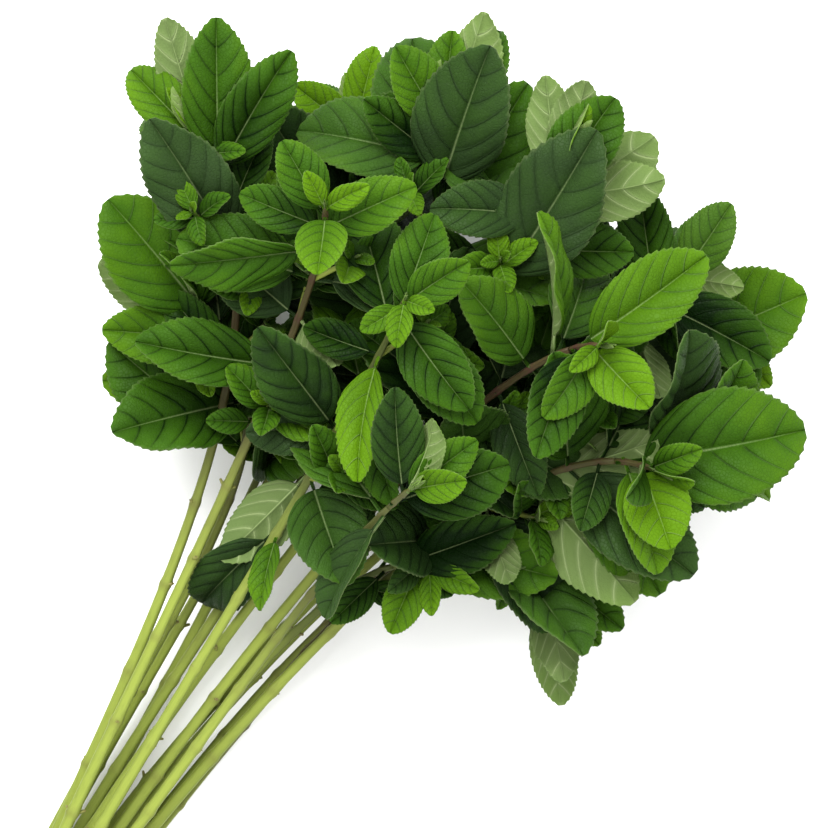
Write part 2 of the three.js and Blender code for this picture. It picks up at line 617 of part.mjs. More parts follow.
// What has been placed so far, as sets of points with the ball round each set.
class Crown {
  placed = [];
  nudges = nudges();

  shape(points, owner) {
    const middle = points.reduce((sum, point) => sum.add(point), new THREE.Vector3());
    middle.divideScalar(points.length);
    const radius = Math.max(...points.map((point) => point.distanceTo(middle)));
    return { points, middle, radius, owner };
  }

  // A stem keeps other sprigs' leaves off it. Its own leaves stand on it.
  addStem(line, owner) {
    for (let start = line.waist; start < line.length - STEM_STRETCH; start += STEM_STRETCH) {
      const points = [];
      for (let step = 0; step < STEM_STRETCH; step += STEM_STEP) {
        points.push(line.at(start + step));
      }
      this.placed.push(this.shape(points, owner));
    }
  }

  clearance(one) {
    let least = Infinity;
    for (const other of this.placed) {
      if (other.owner === one.owner) continue;
      if (one.middle.distanceTo(other.middle) > one.radius + other.radius + NEAR) continue;
      for (const a of one.points) {
        for (const b of other.points) least = Math.min(least, a.distanceToSquared(b));
      }
    }
    return Math.sqrt(least);
  }

  keep(leaf) {
    this.placed.push(this.shape(leaf.samples(), null));
    return leaf;
  }

  // The first nudge that clears what is there, or else the one that comes nearest to it.
  place(sprig, number, pair, half) {
    let best = null;
    for (const nudge of this.nudges) {
      const leaf = makeLeaf(sprig, number, pair, half, nudge);
      const shape = this.shape(leaf.samples(), number);
      const clear = this.clearance(shape);
      if (!best || clear > best.clear) best = { leaf, shape, clear };
      if (clear > LEAST_CLEARANCE) break;
    }
    this.placed.push({ ...best.shape, owner: null });
    return best.leaf;
  }
}

// ---- Solids ----

// A manifold-3d solid of a closed geometry.
function solidOf(geometry) {
  geometry.deleteAttribute('normal');
  geometry.deleteAttribute('uv');
  const merged = mergeVertices(geometry, WELD);
  const vertProperties = new Float32Array(merged.getAttribute('position').array);
  const triVerts = new Uint32Array(merged.index.array);
  return new wasm.Manifold(new wasm.Mesh({ numProp: 3, vertProperties, triVerts }));
}

function geometryOf(solid) {
  const mesh = solid.getMesh();
  const geometry = new THREE.BufferGeometry();
  geometry.setAttribute('position', new THREE.BufferAttribute(mesh.vertProperties, 3));
  geometry.setIndex(new THREE.BufferAttribute(mesh.triVerts, 1));
  geometry.computeVertexNormals();
  return geometry;
}

function joined(solids) {
  return solids.reduce((whole, solid) => whole.add(solid));
}

function boxesMeet(one, other) {
  const a = one.boundingBox();
  const b = other.boundingBox();
  return [0, 1, 2].every((axis) => a.min[axis] < b.max[axis] && b.min[axis] < a.max[axis]);
}

function distanceTo(solid, point) {
  const values = solid.getMesh().vertProperties;
  let least = Infinity;
  for (let i = 0; i < values.length; i += 3) {
    const gap = Math.hypot(values[i] - point.x, values[i + 1] - point.y, values[i + 2] - point.z);
    least = Math.min(least, gap);
  }
  return least;
}

// The solid with its neighbours' room taken out of it: the piece that is left at its root.
function clearOf(solid, neighbours, root) {
  const near = neighbours.filter((neighbour) => boxesMeet(solid, neighbour));
  const cut = near.reduce((rest, neighbour) => rest.subtract(neighbour), solid);
  const pieces = cut.decompose().map((piece) => ({ piece, gap: distanceTo(piece, root) }));
  return pieces.reduce((best, one) => (one.gap < best.gap ? one : best)).piece;
}

// The ring round a stem that joins the two stalks of a pair.
function ringSolid(sprig, distance, extra) {
  const { line } = sprig;
  const corner = line.radius(distance) * CORNER_REACH;
  const inner = (corner + RING_EASE) / Math.cos(Math.PI / RING_SIDES) - extra;
  const outer = inner + RING_WALL + 2 * extra;
  const half = RING_HEIGHT / 2 + extra;
  const profile = [[inner, -half], [outer, -half], [outer, half], [inner, half], [inner, -half]];
  const points = profile.map(([x, y]) => new THREE.Vector2(x, y));
  const geometry = new THREE.LatheGeometry(points, RING_SIDES);
  const { along, side, across } = line.axes(distance);
  const frame = new THREE.Matrix4().makeBasis(side, along, side.clone().cross(along));
  frame.setPosition(line.at(distance));
  geometry.applyMatrix4(frame);
  return solidOf(geometry);
}

function pairSolid(sprig, pair, extra) {
  const distance = sprig.line.length - pairDistance(sprig.row, pair);
  const leaves = sprig.leaves[pair].map((leaf) => leaf.solid(LEAF_RINGS, extra));
  return joined([ringSolid(sprig, distance, extra), ...leaves]);
}

// The last stretch of stem with the youngest leaf pairs, which close over the bud.
function tipSolid(sprig, extra) {
  const { line } = sprig;
  const bend = line.length - pairDistance(sprig.row, 1);
  const stations = [sprig.tipStart - extra, bend, line.length + BUD_LENGTH];
  const pairs = sprig.leaves.slice(0, TIP_PAIRS);
  const blades = pairs.flatMap((pair, i) => pair.map((leaf) => leaf.solid(BUD_RINGS + i, extra)));
  return joined([stemSolid(line, stations, extra), ...blades]);
}

// The band's inside or outside line, round the outermost stems.
function bandLine(path, radius) {
  const top = LAYER_WIDTHS.length - 1;
  const lean = Math.atan2(COLUMN_PITCH / 2, LAYER_PITCH);
  const corners = [
    [-LAYER_WIDTHS[0], 0, lean - Math.PI, -Math.PI / 2],
    [LAYER_WIDTHS[0], 0, -Math.PI / 2, -lean],
    [LAYER_WIDTHS[1], 1, -lean, lean],
    [LAYER_WIDTHS[top], top, lean, Math.PI / 2],
    [-LAYER_WIDTHS[top], top, Math.PI / 2, Math.PI - lean],
    [-LAYER_WIDTHS[1], 1, Math.PI - lean, Math.PI + lean],
  ];
  for (const [column, layer, from, to] of corners) {
    path.absarc(column * COLUMN_PITCH, layer * LAYER_PITCH, radius, from, to, false);
  }
  path.closePath();
  return path;
}

function bandSolid(extra) {
  const inner = STEM_RADIUS * CORNER_REACH + BAND_EASE;
  const shape = bandLine(new THREE.Shape(), inner + BAND_THICKNESS + extra);
  shape.holes.push(bandLine(new THREE.Path(), inner - extra));
  const depth = BAND_WIDTH + 2 * extra;
  const outline = { depth, bevelEnabled: false, curveSegments: BAND_ARC_STEPS };
  const geometry = new THREE.ExtrudeGeometry(shape, outline);
  geometry.rotateX(Math.PI / 2);
  geometry.translate(BAND_X, BAND_Y + depth / 2, STEM_RADIUS + LIFT);
  return solidOf(geometry);
}

// ---- Assembly ----

function plantSprigs() {
  const sprigs = SPRIGS.map((row) => {
    const line = new StemLine(row);
    const tipStart = line.length - pairDistance(row, TIP_PAIRS - 1) - TIP_STEM;
    return { row, line, tipStart, leaves: [] };
  });
  const crown = new Crown();
  sprigs.forEach(({ line }, number) => crown.addStem(line, number));
  const setLeaves = new Map();
  for (const [count, pair, half, ...form] of SET_LEAVES) {
    const leaf = setLeaf(sprigs[count - 1], count - 1, pair, half, ...form);
    setLeaves.set([count - 1, pair, half].join(), crown.keep(leaf));
  }
  const oldest = TIP_PAIRS + Math.max(...SPRIGS.map((row) => row.pairs));
  for (let pair = 0; pair < oldest; pair += 1) {
    sprigs.forEach((sprig, number) => {
      if (pair >= TIP_PAIRS + sprig.row.pairs) return;
      sprig.leaves.push([0, 1].map((half) => {
        const known = setLeaves.get([number, pair, half].join());
        return known ?? crown.place(sprig, number, pair, half);
      }));
    });
  }
  return sprigs;
}

function meshOf(name, solid, color, roughness) {
  const material = new THREE.MeshStandardMaterial({ color, roughness, metalness: 0 });
  const mesh = new THREE.Mesh(geometryOf(solid), material);
  mesh.name = name;
  return mesh;
}

function stemOf(sprig, extra) {
  const { row, line, tipStart } = sprig;
  const nodes = [line.waist];
  for (let pair = TIP_PAIRS; pair < TIP_PAIRS + row.pairs; pair += 1) {
    nodes.push(line.length - pairDistance(row, pair));
  }
  return stemSolid(line, stemStations(line, tipStart - GAP, nodes), extra);
}

function buildBunch() {
  const group = new THREE.Group();
  const sprigs = plantSprigs();
  const names = sprigs.map((_, i) => `sprig_${String(i + 1).padStart(2, '0')}`);
  const room = sprigs.map((sprig) => stemOf(sprig, GAP)); // where later pieces may not be
  sprigs.forEach((sprig, i) => {
    group.add(meshOf(`${names[i]}_stem`, stemOf(sprig, 0), STEM_GREEN, STEM_ROUGHNESS));
  });
  sprigs.forEach((sprig, i) => {
    const others = room.filter((_, j) => j !== i);
    const tip = clearOf(tipSolid(sprig, 0), others, sprig.line.at(sprig.tipStart));
    group.add(meshOf(`${names[i]}_tip`, tip, LEAF_GREENS[0], LEAF_ROUGHNESS));
    room.push(tipSolid(sprig, GAP));
  });
  for (const [grown, letter] of ['a', 'b'].entries()) {
    sprigs.forEach((sprig, i) => {
      if (grown >= sprig.row.pairs) return;
      const pair = TIP_PAIRS + grown;
      const node = sprig.line.at(sprig.line.length - pairDistance(sprig.row, pair));
      const leaves = clearOf(pairSolid(sprig, pair, 0), room, node);
      const green = LEAF_GREENS[grown + 1];
      group.add(meshOf(`${names[i]}_leaves_${letter}`, leaves, green, LEAF_ROUGHNESS));
      room.push(pairSolid(sprig, pair, GAP));
    });
  }
  group.add(meshOf('band', bandSolid(0), BAND_TAN, BAND_ROUGHNESS));
  return group;
}

// Stands the bunch on the surface, with the origin under the middle of its box.
function settle(group) {
  const box = new THREE.Box3().setFromObject(group);
  const middle = box.getCenter(new THREE.Vector3());
  group.position.set(-middle.x, -middle.y, -box.min.z);
  return group;
}

export default settle(buildBunch());
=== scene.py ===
"""A cut bunch of mint lying on a pale floor: sixteen leafy sprigs held by one rubber band."""

import functools
import math
from collections import namedtuple

import bpy
import numpy as np
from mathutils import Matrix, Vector


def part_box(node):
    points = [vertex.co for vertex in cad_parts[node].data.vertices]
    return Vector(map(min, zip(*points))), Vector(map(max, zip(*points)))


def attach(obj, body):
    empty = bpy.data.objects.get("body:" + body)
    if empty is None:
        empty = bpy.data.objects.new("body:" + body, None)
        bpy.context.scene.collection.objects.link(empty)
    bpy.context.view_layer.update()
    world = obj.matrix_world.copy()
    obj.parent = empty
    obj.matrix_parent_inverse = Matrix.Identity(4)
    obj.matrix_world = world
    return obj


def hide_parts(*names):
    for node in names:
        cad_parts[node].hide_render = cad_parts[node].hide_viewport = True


bl_info = {
    "name": "Mint bunch",
    "version": (1, 0, 0),
    "blender": (4, 5, 0),
    "location": "3D View > Sidebar > Mint",
    "description": "Builds a cut bunch of mint: stems, leaf pairs, side shoots and rubber band",
    "category": "Add Mesh",
}

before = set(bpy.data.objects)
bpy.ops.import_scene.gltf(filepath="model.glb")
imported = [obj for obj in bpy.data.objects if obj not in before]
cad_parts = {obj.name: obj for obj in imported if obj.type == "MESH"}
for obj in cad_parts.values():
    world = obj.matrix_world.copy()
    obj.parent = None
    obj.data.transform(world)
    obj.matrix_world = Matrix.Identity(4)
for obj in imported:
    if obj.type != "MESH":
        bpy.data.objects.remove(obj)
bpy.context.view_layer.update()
MM = 0.001  # the plan below is in millimetres

# ---- The plan of the bunch, in millimetres ----

STEM_RADIUS = 2.35  # half the width across the flats, at the cut end
TIP_RADIUS = 0.85  # the same at the growing tip
STEM_TAPER = 2.2  # how late along its length a stem thins
CORNER_REACH = math.hypot(1, 0.5)  # from a stem's middle to its corner, in radii
COLUMN_PITCH = 5.7  # between stems side by side under the band
LAYER_PITCH = 5.1  # between layers of stems under the band
LAYER_WIDTHS = (1.5, 2, 1.5, 1)  # outermost column of each layer under the band
BAND_X = -26
BAND_Y = -262
BAND_THICKNESS = 1
BAND_EASE = 0.6  # between the band and the stems' corners
FOOT_LENGTH = 38  # from the band to the cut ends
FOOT_SPLAY = 1.25  # how much wider the stems stand at the cut ends
FOOT_RISE = 14  # handle that keeps a foot straight
BAND_HANDLE = 12
CROWN_HANDLE = 150  # how far the stems run on straight above the band
FOOT_STEPS = 8  # points measured along a foot
CROWN_STEPS = 80  # and along the rest of a stem
AXIS_STEP = 2  # each way, to find which way a stem runs
LIFT = 2.05  # the band lies under the lowest stems
CLEARANCE = 0.1  # of the cut ends above the floor
STRAIGHT_LEAN = 0.015  # of the middle stems to the right as they leave the band
FAN = 0.095  # further lean of the outermost ones
STRAIGHT_RISE = 0.02  # of the lowest layer as it leaves the band
LAYER_RISE = 0.07  # further rise of each layer above it

LEAF_LENGTH = 55  # a full-grown leaf with its stalk
STALK_SHARE = 0.1  # of the leaf's length
STALK_RADIUS = 0.7
STALK_TAPER = 3  # how fast a stalk is lost in its blade
ROOM_SKEW = 0.92  # shape of the room that is kept for a leaf: widest place
ROOM_FULLNESS = 0.8  # and how blunt its ends are
TIP_PAIRS = 3  # youngest pairs, which belong to the tip
FIRST_GAP = 2  # from the tip to the youngest pair
GAP_GROWTH = 3.2  # how the distance of a pair grows with its number
GAP_STRETCH = 1.6  # and with the square of it
GROWTH_START = 0.55  # pairs of age that a bud leaf already has
GROWTH_PAIRS = 1.9  # pairs until a leaf is most of its full size
GROWTH_CURVE = 1.4
LEAST_LENGTH = 0.88  # share of the usual length, and how much more at most
LENGTH_SPREAD = 0.25
LEAST_BREADTH = 0.54  # width as a share of the length, and how much more at most
BREADTH_SPREAD = 0.1
SPIN_SPREAD = 16  # degrees of chance in the turn of a pair
OPENING_START = 0.45  # how soon pairs lean out from the stem
OPENING_PAIRS = 1.5
YOUNG_PAIRS = 2
YOUNG_TURN = 0.15  # share of the turn to the sky of the youngest pairs
GROWN_TURN = 0.6  # and of the others
RING_WALL = 1.1
RING_EASE = 0.55  # between a ring and the corners of its stem
TIP_SEAT = 0.3  # how deep in the tip a stalk begins, as a share of the stem's radius
RING_SEAT = 0.7  # and how far out in the wall of its ring
OLD_SEAT = 0.9  # or how far from the middle of the stem, for pairs without a ring
SURFACE = 0.55  # lowest height of a leaf's middle
SURFACE_ROOM = 3  # the lowest tip of a leaf that is aimed down
SOFTNESS = 2.5  # how gently a leaf bends as it meets the floor
FAR_ABOVE = 30  # times the softness: from here up the floor isn't felt
UPRIGHT = 0.15  # a leaf this near to upright has no side to turn to the sky

LEAST_DROOP = 4.5  # degrees that a leaf bends from stalk to tip
DROOP_SPREAD = 35
LEAST_FOLD = 14  # degrees that each half rises from the midrib
FOLD_SPREAD = 10
FRESH_PAIRS = 1.9  # how fast the bright green of young leaves fades with age
YOUTH_SHARE = 0.75
TONE_SHARE = 0.5  # how much of it is left to chance
TONE_CURVE = 2.2
OLD_AGE = 3  # pairs of age from which a leaf may carry a blue-green painted sheen

# How a leaf may be moved to clear the ones before it, nearest to its natural place first:
# degrees of lean, degrees of spin about the stem, and share of the turn to the sky
LEANS = (0, 12, -12, 24, -24, 36)
SPINS = (0, 14, -14, 26, -26)
TURNS = (0, 0.22, -0.22)
ANGLE_COST = 12  # degrees of lean or spin that count as much as
TURN_COST = 0.3  # this share of a turn
LEAST_CLEARANCE = 2.6  # between two leaves, or a leaf and the middle of a stem
STEEPEST_LEAN = 125  # degrees from the stem
SAMPLE_START = 0.15  # share of the leaf where its points start
SAMPLE_ROWS, SAMPLE_COLUMNS = 9, 5
STEM_STRETCH = 16  # length of stem that is compared with leaves as one shape
STEM_STEP = 4  # between the points measured on it
LEAF_REACH = 1.3  # how far round its base a leaf looks for others, in its own lengths
NEAR_GAP = 4
NOTHING_NEAR = 1e4

# Which draw of chance each thing takes, so that none changes with another
DROOP_DRAW, FOLD_DRAW = 2, 3
SHOOT_LENGTH_DRAW, SHOOT_SIZE_DRAW, SHOOT_DRAW = 5, 6, 8
WILD_DRAWS = range(11, 17)
TONE_DRAW, SHEEN_DRAW, SUN_DRAW = 21, 22, 31
STUB_SIZE_DRAW, STUB_CUT_DRAW, STUB_DRAW = 41, 42, 43
CHANCE_WEIGHTS = (12.9898, 78.233, 37.719, 54.471)
CHANCE_SCALE = 43758.5453

PLAN_TURN = 30  # degrees from the plan's directions, right and up, to the stems' own

# column and layer under the band, place of the tip on the plan, aim of the tip, turn of its
# pairs, size of its leaves, age of the youngest pair, lean of the oldest, bend of the stem, grown
# pairs in the frame, and all its pairs
Row = namedtuple("Row", "column layer tip azimuth elevation roll size ripe spread handle pairs total")
SPRIGS = (
    Row(-1.5, 0, (-79, 17, 34), 216, 4, 20, 1, 1.6, 56, 72, 2, 6),
    Row(-0.5, 0, (-23, 109, 38), 130, 6, 30, 1, 1.6, 50, 72, 2, 8),
    Row(0.5, 0, (113, 32, 36), 52, 4, 45, 1.15, 1.8, 48, 72, 2, 8),
    Row(1.5, 0, (52, -67, 34), 322, 2, 15, 1.05, 1.4, 50, 72, 2, 6),
    Row(-2, 1, (-82, 40, 62), 172, 8, 30, 1.05, 1.8, 52, 72, 1, 6),
    Row(-1, 1, (10, 108, 74), 128, 14, 40, 1.05, 1.6, 50, 72, 2, 8),
    Row(0, 1, (100, 52, 66), 72, 12, 10, 1.05, 1.5, 50, 72, 2, 8),
    Row(2, 1, (102, -8, 70), 18, 12, 30, 1.1, 1.7, 53, 72, 2, 8),
    Row(1, 1, (7, -57, 68), 5, 28, 0, 0.85, 0, 75, 30, 2, 5),
    Row(-1.5, 2, (-78, 100, 90), 152, 16, 50, 1.1, 1.6, 48, 80, 1, 8),
    Row(-0.5, 2, (52, 85, 98), 96, 24, 70, 1.15, 2.2, 58, 72, 2, 8),
    Row(0.5, 2, (66, 24, 114), 20, 60, 20, 0.95, 0.4, 76, 72, 1, 7),
    Row(1.5, 2, (86, -20, 96), 5, 45, 0, 0.95, 0.5, 74, 72, 1, 8),
    Row(-1, 3, (-31, 72, 126), 125, 70, 15, 1, 0, 80, 72, 2, 8),
    Row(0, 3, (-3, 40, 132), 100, 72, 50, 0.95, 0, 80, 72, 1, 9),
    Row(1, 3, (-1, -26, 119), 70, 58, 60, 0.95, 0.8, 78, 72, 1, 4),
)

# Leaves whose place is set: sprig, pair and half, where the tip is on the plan, tilt of the upper
# face from the sky, width as a share of the length, freshness, and how much blue-green painted sheen
SetLeaf = namedtuple("SetLeaf", "sprig pair half place tilt breadth fresh cool")
SET_LEAVES = (
    SetLeaf(14, 0, 0, (-37, 84, 133), 0, 0.5, 0.95, 0),
    SetLeaf(14, 0, 1, (-16, 80, 132), 0, 0.5, 0.95, 0),
    SetLeaf(14, 1, 0, (-32, 48, 131), 0, 0.8, 0.75, 0),
    SetLeaf(14, 1, 1, (-46, 95, 124), 0, 0.6, 0.45, 0),
    SetLeaf(14, 2, 0, (1, 79, 122), 0, 0.55, 0.5, 0),
    SetLeaf(14, 2, 1, (-62, 77, 108), 0, 0.5, 0.3, 0),
    SetLeaf(14, 3, 0, (-86, 54, 112), -50, 0.45, 0.35, 0),
    SetLeaf(14, 3, 1, (-45, 92, 108), 0, 0.45, 0.3, 0),
    SetLeaf(14, 5, 0, (-72, 60, 84), 0, 0.7, 0.05, 0.6),
    SetLeaf(15, 0, 0, (-7, 23, 134), 0, 0.6, 0.85, 0),
    SetLeaf(15, 0, 1, (7, 35, 136), 0, 0.6, 0.8, 0),
    SetLeaf(15, 1, 0, (18, 54, 132), 0, 0.6, 0.5, 0),
    SetLeaf(15, 1, 1, (-18, 28, 126), 0, 0.55, 0.7, 0),
    SetLeaf(15, 2, 1, (17, 0, 124), 0, 0.55, 0.25, 0),
    SetLeaf(15, 4, 0, (-21, -24, 112), 35, 0.42, 0.95, 0),
    SetLeaf(15, 6, 0, (-61, -5, 84), 0, 0.6, 0.02, 0.8),
    SetLeaf(15, 6, 1, (-55, 31, 106), 0, 0.52, 0.12, 0.3),
    SetLeaf(15, 7, 0, (-71, -55, 58), 180, 0.5, 0.2, 0),
    SetLeaf(15, 7, 1, (-25, -62, 92), 0, 0.7, 0.32, 0.5),
    SetLeaf(15, 8, 0, (-56, -72, 75), 20, 0.42, 0.6, 0),
    SetLeaf(16, 0, 0, (8, -3, 130), 150, 0.5, 0.6, 0),
    SetLeaf(16, 0, 1, (18, -22, 128), 0, 0.6, 0.7, 0),
    SetLeaf(16, 1, 0, (-9, 9, 124), 0, 0.52, 0.12, 0.35),
    SetLeaf(16, 1, 1, (22, -9, 120), 0, 0.5, 0.4, 0),
    SetLeaf(16, 2, 0, (33, -16, 108), 0, 0.66, 0.12, 0),
    SetLeaf(16, 3, 0, (-31, -75, 90), 60, 0.5, 0.15, 0.7),
    SetLeaf(12, 0, 0, (55, 14, 121), 0, 0.5, 0.85, 0),
    SetLeaf(12, 1, 0, (81, 1, 120), 0, 0.66, 0.9, 0),
    SetLeaf(12, 2, 0, (40, -14, 118), 0, 0.5, 0.15, 0),
    SetLeaf(12, 2, 1, (105, 54, 106), 0, 0.5, 0.65, 0),
    SetLeaf(12, 3, 0, (43, 70, 120), 75, 0.4, 0.5, 0),
    SetLeaf(13, 0, 0, (102, -12, 106), 0, 0.55, 0.6, 0),
    SetLeaf(13, 1, 0, (92, -48, 100), 0, 0.8, 0.92, 0),
    SetLeaf(13, 2, 0, (142, -9, 84), 0, 0.64, 0.4, 0),
    SetLeaf(13, 4, 0, (99, -61, 82), 0, 0.55, 0.12, 0.7),
    SetLeaf(13, 5, 0, (82, -68, 72), 180, 0.5, 0.6, 0),
    SetLeaf(13, 6, 0, (34, -61, 84), 170, 0.42, 0.3, 0),
    SetLeaf(9, 0, 0, (7, -74, 72), 0, 0.5, 0.8, 0),
    SetLeaf(9, 0, 1, (24, -64, 75), 0, 0.5, 0.7, 0),
    SetLeaf(9, 1, 0, (-10, -80, 68), 0, 0.6, 0.75, 0),
    SetLeaf(9, 1, 1, (-10, -64, 78), 0, 0.5, 0.2, 0.5),
    SetLeaf(9, 2, 0, (37, -40, 76), 0, 0.5, 0.08, 0),
    SetLeaf(10, 0, 0, (-92, 141, 94), 165, 0.42, 0.4, 0),
    SetLeaf(10, 0, 1, (-103, 125, 80), 0, 0.5, 0.6, 0),
    SetLeaf(10, 2, 0, (-71, 142, 96), 0, 0.48, 0.4, 0),
    SetLeaf(10, 2, 1, (-46, 131, 98), 0, 0.45, 0.25, 0),
    SetLeaf(10, 4, 0, (-91, 106, 106), 0, 0.52, 0.02, 1),
    SetLeaf(10, 7, 0, (-114, 26, 58), 0, 0.6, 0.25, 0),
    SetLeaf(5, 0, 0, (-92, 58, 86), 80, 0.4, 0.4, 0),
    SetLeaf(5, 1, 0, (-110, 80, 74), 0, 0.66, 0.45, 0),
    SetLeaf(5, 1, 1, (-118, 55, 56), 180, 0.5, 0.6, 0),
    SetLeaf(1, 1, 1, (-115, 32, 44), 165, 0.55, 0.6, 0),
    SetLeaf(1, 2, 1, (-118, 12, 38), 0, 0.6, 0.6, 0),
    SetLeaf(2, 0, 0, (-14, 138, 46), 0, 0.5, 0.95, 0),
    SetLeaf(2, 0, 1, (-46, 123, 46), 0, 0.6, 0.9, 0),
    SetLeaf(6, 0, 0, (-8, 132, 84), 0, 0.65, 0.5, 0),
    SetLeaf(6, 1, 0, (24, 147, 78), 150, 0.5, 0.8, 0),
    SetLeaf(6, 2, 1, (-19, 113, 84), 0, 0.5, 0.1, 0),
    SetLeaf(6, 3, 0, (25, 132, 100), 0, 0.6, 0.08, 0.7),
    SetLeaf(6, 4, 1, (43, 121, 68), 0, 0.5, 0.3, 0),
    SetLeaf(11, 0, 0, (62, 118, 104), 170, 0.55, 0.3, 0),
    SetLeaf(11, 0, 1, (48, 122, 90), 180, 0.5, 0.5, 0),
    SetLeaf(11, 1, 1, (90, 84, 94), 165, 0.55, 0.5, 0),
    SetLeaf(11, 2, 0, (85, 103, 84), 170, 0.66, 0.5, 0),
    SetLeaf(11, 2, 1, (6, 76, 98), 0, 0.55, 0.03, 0.6),
    SetLeaf(11, 4, 0, (68, 98, 108), 0, 0.55, 0.06, 0.8),
    SetLeaf(7, 0, 0, (117, 76, 76), 0, 0.6, 0.6, 0.5),
    SetLeaf(7, 0, 1, (122, 48, 64), 180, 0.6, 0.8, 0),
    SetLeaf(7, 3, 0, (90, 6, 88), 160, 0.42, 0.4, 0),
    SetLeaf(3, 0, 0, (136, 12, 40), 0, 0.5, 0.9, 0),
    SetLeaf(3, 2, 0, (147, 43, 54), 0, 0.72, 0.55, 0),
    SetLeaf(8, 4, 0, (93, -66, 58), 0, 0.5, 0.4, 0),
    SetLeaf(4, 0, 0, (53, -110, 42), 180, 0.42, 0.6, 0),
    SetLeaf(4, 1, 0, (57, -99, 60), 175, 0.4, 0.25, 0),
    SetLeaf(4, 2, 0, (78, -81, 48), 0, 0.5, 0.3, 0),
    SetLeaf(5, 2, 0, (-115, 29, 66), 0, 0.55, 0.55, 0),
    SetLeaf(5, 3, 0, (-52, 42, 62), 0, 0.5, 0.1, 0),
    SetLeaf(5, 5, 1, (-84, 8, 54), 0, 0.5, 0.2, 0),
    SetLeaf(10, 1, 0, (-98, 112, 62), 0, 0.55, 0.35, 0),
    SetLeaf(10, 1, 1, (-60, 94, 98), 0, 0.45, 0.45, 0),
    SetLeaf(10, 4, 1, (-100, 66, 60), 0, 0.55, 0.1, 0),
    SetLeaf(10, 6, 0, (-92, 44, 66), 0, 0.55, 0.1, 0),
    SetLeaf(10, 7, 1, (-98, 36, 46), 0, 0.5, 0.2, 0),
    SetLeaf(9, 2, 1, (14, -68, 56), 0, 0.5, 0.15, 0),
    SetLeaf(9, 3, 0, (-31, -77, 62), 0, 0.5, 0.15, 0),
    SetLeaf(9, 4, 0, (2, -70, 50), 0, 0.5, 0.2, 0),
    SetLeaf(13, 3, 0, (60, -42, 96), 0, 0.55, 0.15, 0.3),
    SetLeaf(13, 5, 1, (87, -7, 92), 160, 0.48, 0.35, 0),
    SetLeaf(11, 1, 0, (70, 114, 98), 0, 0.62, 0.3, 0),
    SetLeaf(11, 3, 0, (80, 58, 78), 0, 0.55, 0.2, 0),
    SetLeaf(11, 4, 1, (-2, 66, 74), 0, 0.5, 0.1, 0),
    SetLeaf(11, 6, 0, (20, 60, 88), 0, 0.55, 0.03, 0.3),
    SetLeaf(6, 0, 1, (14, 140, 76), 0, 0.55, 0.5, 0),
    SetLeaf(6, 1, 1, (32, 141, 66), 0, 0.55, 0.3, 0),
    SetLeaf(8, 1, 1, (116, -30, 84), 0, 0.55, 0.5, 0),
    SetLeaf(8, 2, 1, (130, -29, 46), 0, 0.55, 0.3, 0),
    SetLeaf(8, 3, 0, (108, -34, 62), 0, 0.5, 0.1, 0),
    SetLeaf(8, 5, 1, (68, -46, 60), 0, 0.5, 0.1, 0),
    SetLeaf(3, 0, 1, (134, 34, 34), 0, 0.5, 0.4, 0),
    SetLeaf(3, 1, 0, (118, 58, 22), 0, 0.55, 0.2, 0),
    SetLeaf(7, 1, 1, (98, 20, 86), 60, 0.4, 0.1, 0),
    SetLeaf(14, 5, 1, (-28, 17, 98), 170, 0.75, 0.4, 0),
    SetLeaf(14, 6, 0, (-101, 23, 86), 0, 0.5, 0.25, 0),
    SetLeaf(14, 7, 0, (-76, -2, 76), 0, 0.55, 0.35, 0),
    SetLeaf(15, 2, 0, (8, 70, 112), 0, 0.55, 0.35, 0),
    SetLeaf(15, 4, 1, (-40, 30, 94), 0, 0.5, 0.1, 0),
    SetLeaf(15, 5, 1, (-5, -32, 98), 20, 0.45, 0.3, 0),
    SetLeaf(15, 8, 1, (-82, -70, 34), 0, 0.5, 0.02, 0.5),
    SetLeaf(1, 2, 0, (-86, -2, 20), 0, 0.55, 0.4, 0),
    SetLeaf(4, 0, 1, (70, -88, 36), 0, 0.5, 0.4, 0),
    SetLeaf(4, 1, 1, (38, -72, 30), 0, 0.5, 0.2, 0),
    SetLeaf(12, 5, 1, (44, -30, 80), 0, 0.5, 0.05, 0.5),
    SetLeaf(1, 0, 1, (-94, 2, 30), 0, 0.5, 0.4, 0),
    SetLeaf(2, 1, 0, (-40, 124, 10), 0, 0.5, 0.3, 0),
    SetLeaf(3, 2, 1, (136, 18, 14), 0, 0.5, 0.25, 0),
    SetLeaf(4, 2, 1, (25, -57, 12), 0, 0.5, 0.2, 0),
    SetLeaf(4, 4, 0, (33, -68, 16), 0, 0.5, 0.15, 0),
    SetLeaf(7, 1, 0, (113, 70, 40), 0, 0.55, 0.3, 0),
    SetLeaf(7, 2, 0, (84, 85, 60), 0, 0.5, 0.2, 0),
    SetLeaf(8, 1, 0, (128, 18, 58), 0, 0.5, 0.2, 0),
    SetLeaf(10, 3, 1, (-92, 96, 50), 0, 0.5, 0.2, 0),
    SetLeaf(2, 1, 1, (-4, 118, 52), 0, 0.5, 0.6, 0),
    SetLeaf(3, 1, 1, (131, 5, 26), 0, 0.5, 0.5, 0),
    SetLeaf(5, 0, 1, (-73, 56, 64), 0, 0.5, 0.3, 0),
    SetLeaf(10, 3, 0, (-55, 104, 80), 0, 0.5, 0.08, 0),
    SetLeaf(10, 5, 0, (-57, 65, 50), 0, 0.5, 0.08, 0),
    SetLeaf(11, 5, 1, (54, 54, 70), 0, 0.6, 0.2, 0),
)
Nudge = namedtuple("Nudge", "lean spin turn")


def chance(*seeds):
    """A repeatable number from 0 to 1 for up to four whole numbers."""
    mixed = sum(seed * weight for seed, weight in zip(seeds, CHANCE_WEIGHTS))
    wide = math.sin(mixed) * CHANCE_SCALE
    return wide - math.floor(wide)


def unit(vector):
    return vector / np.linalg.norm(vector)


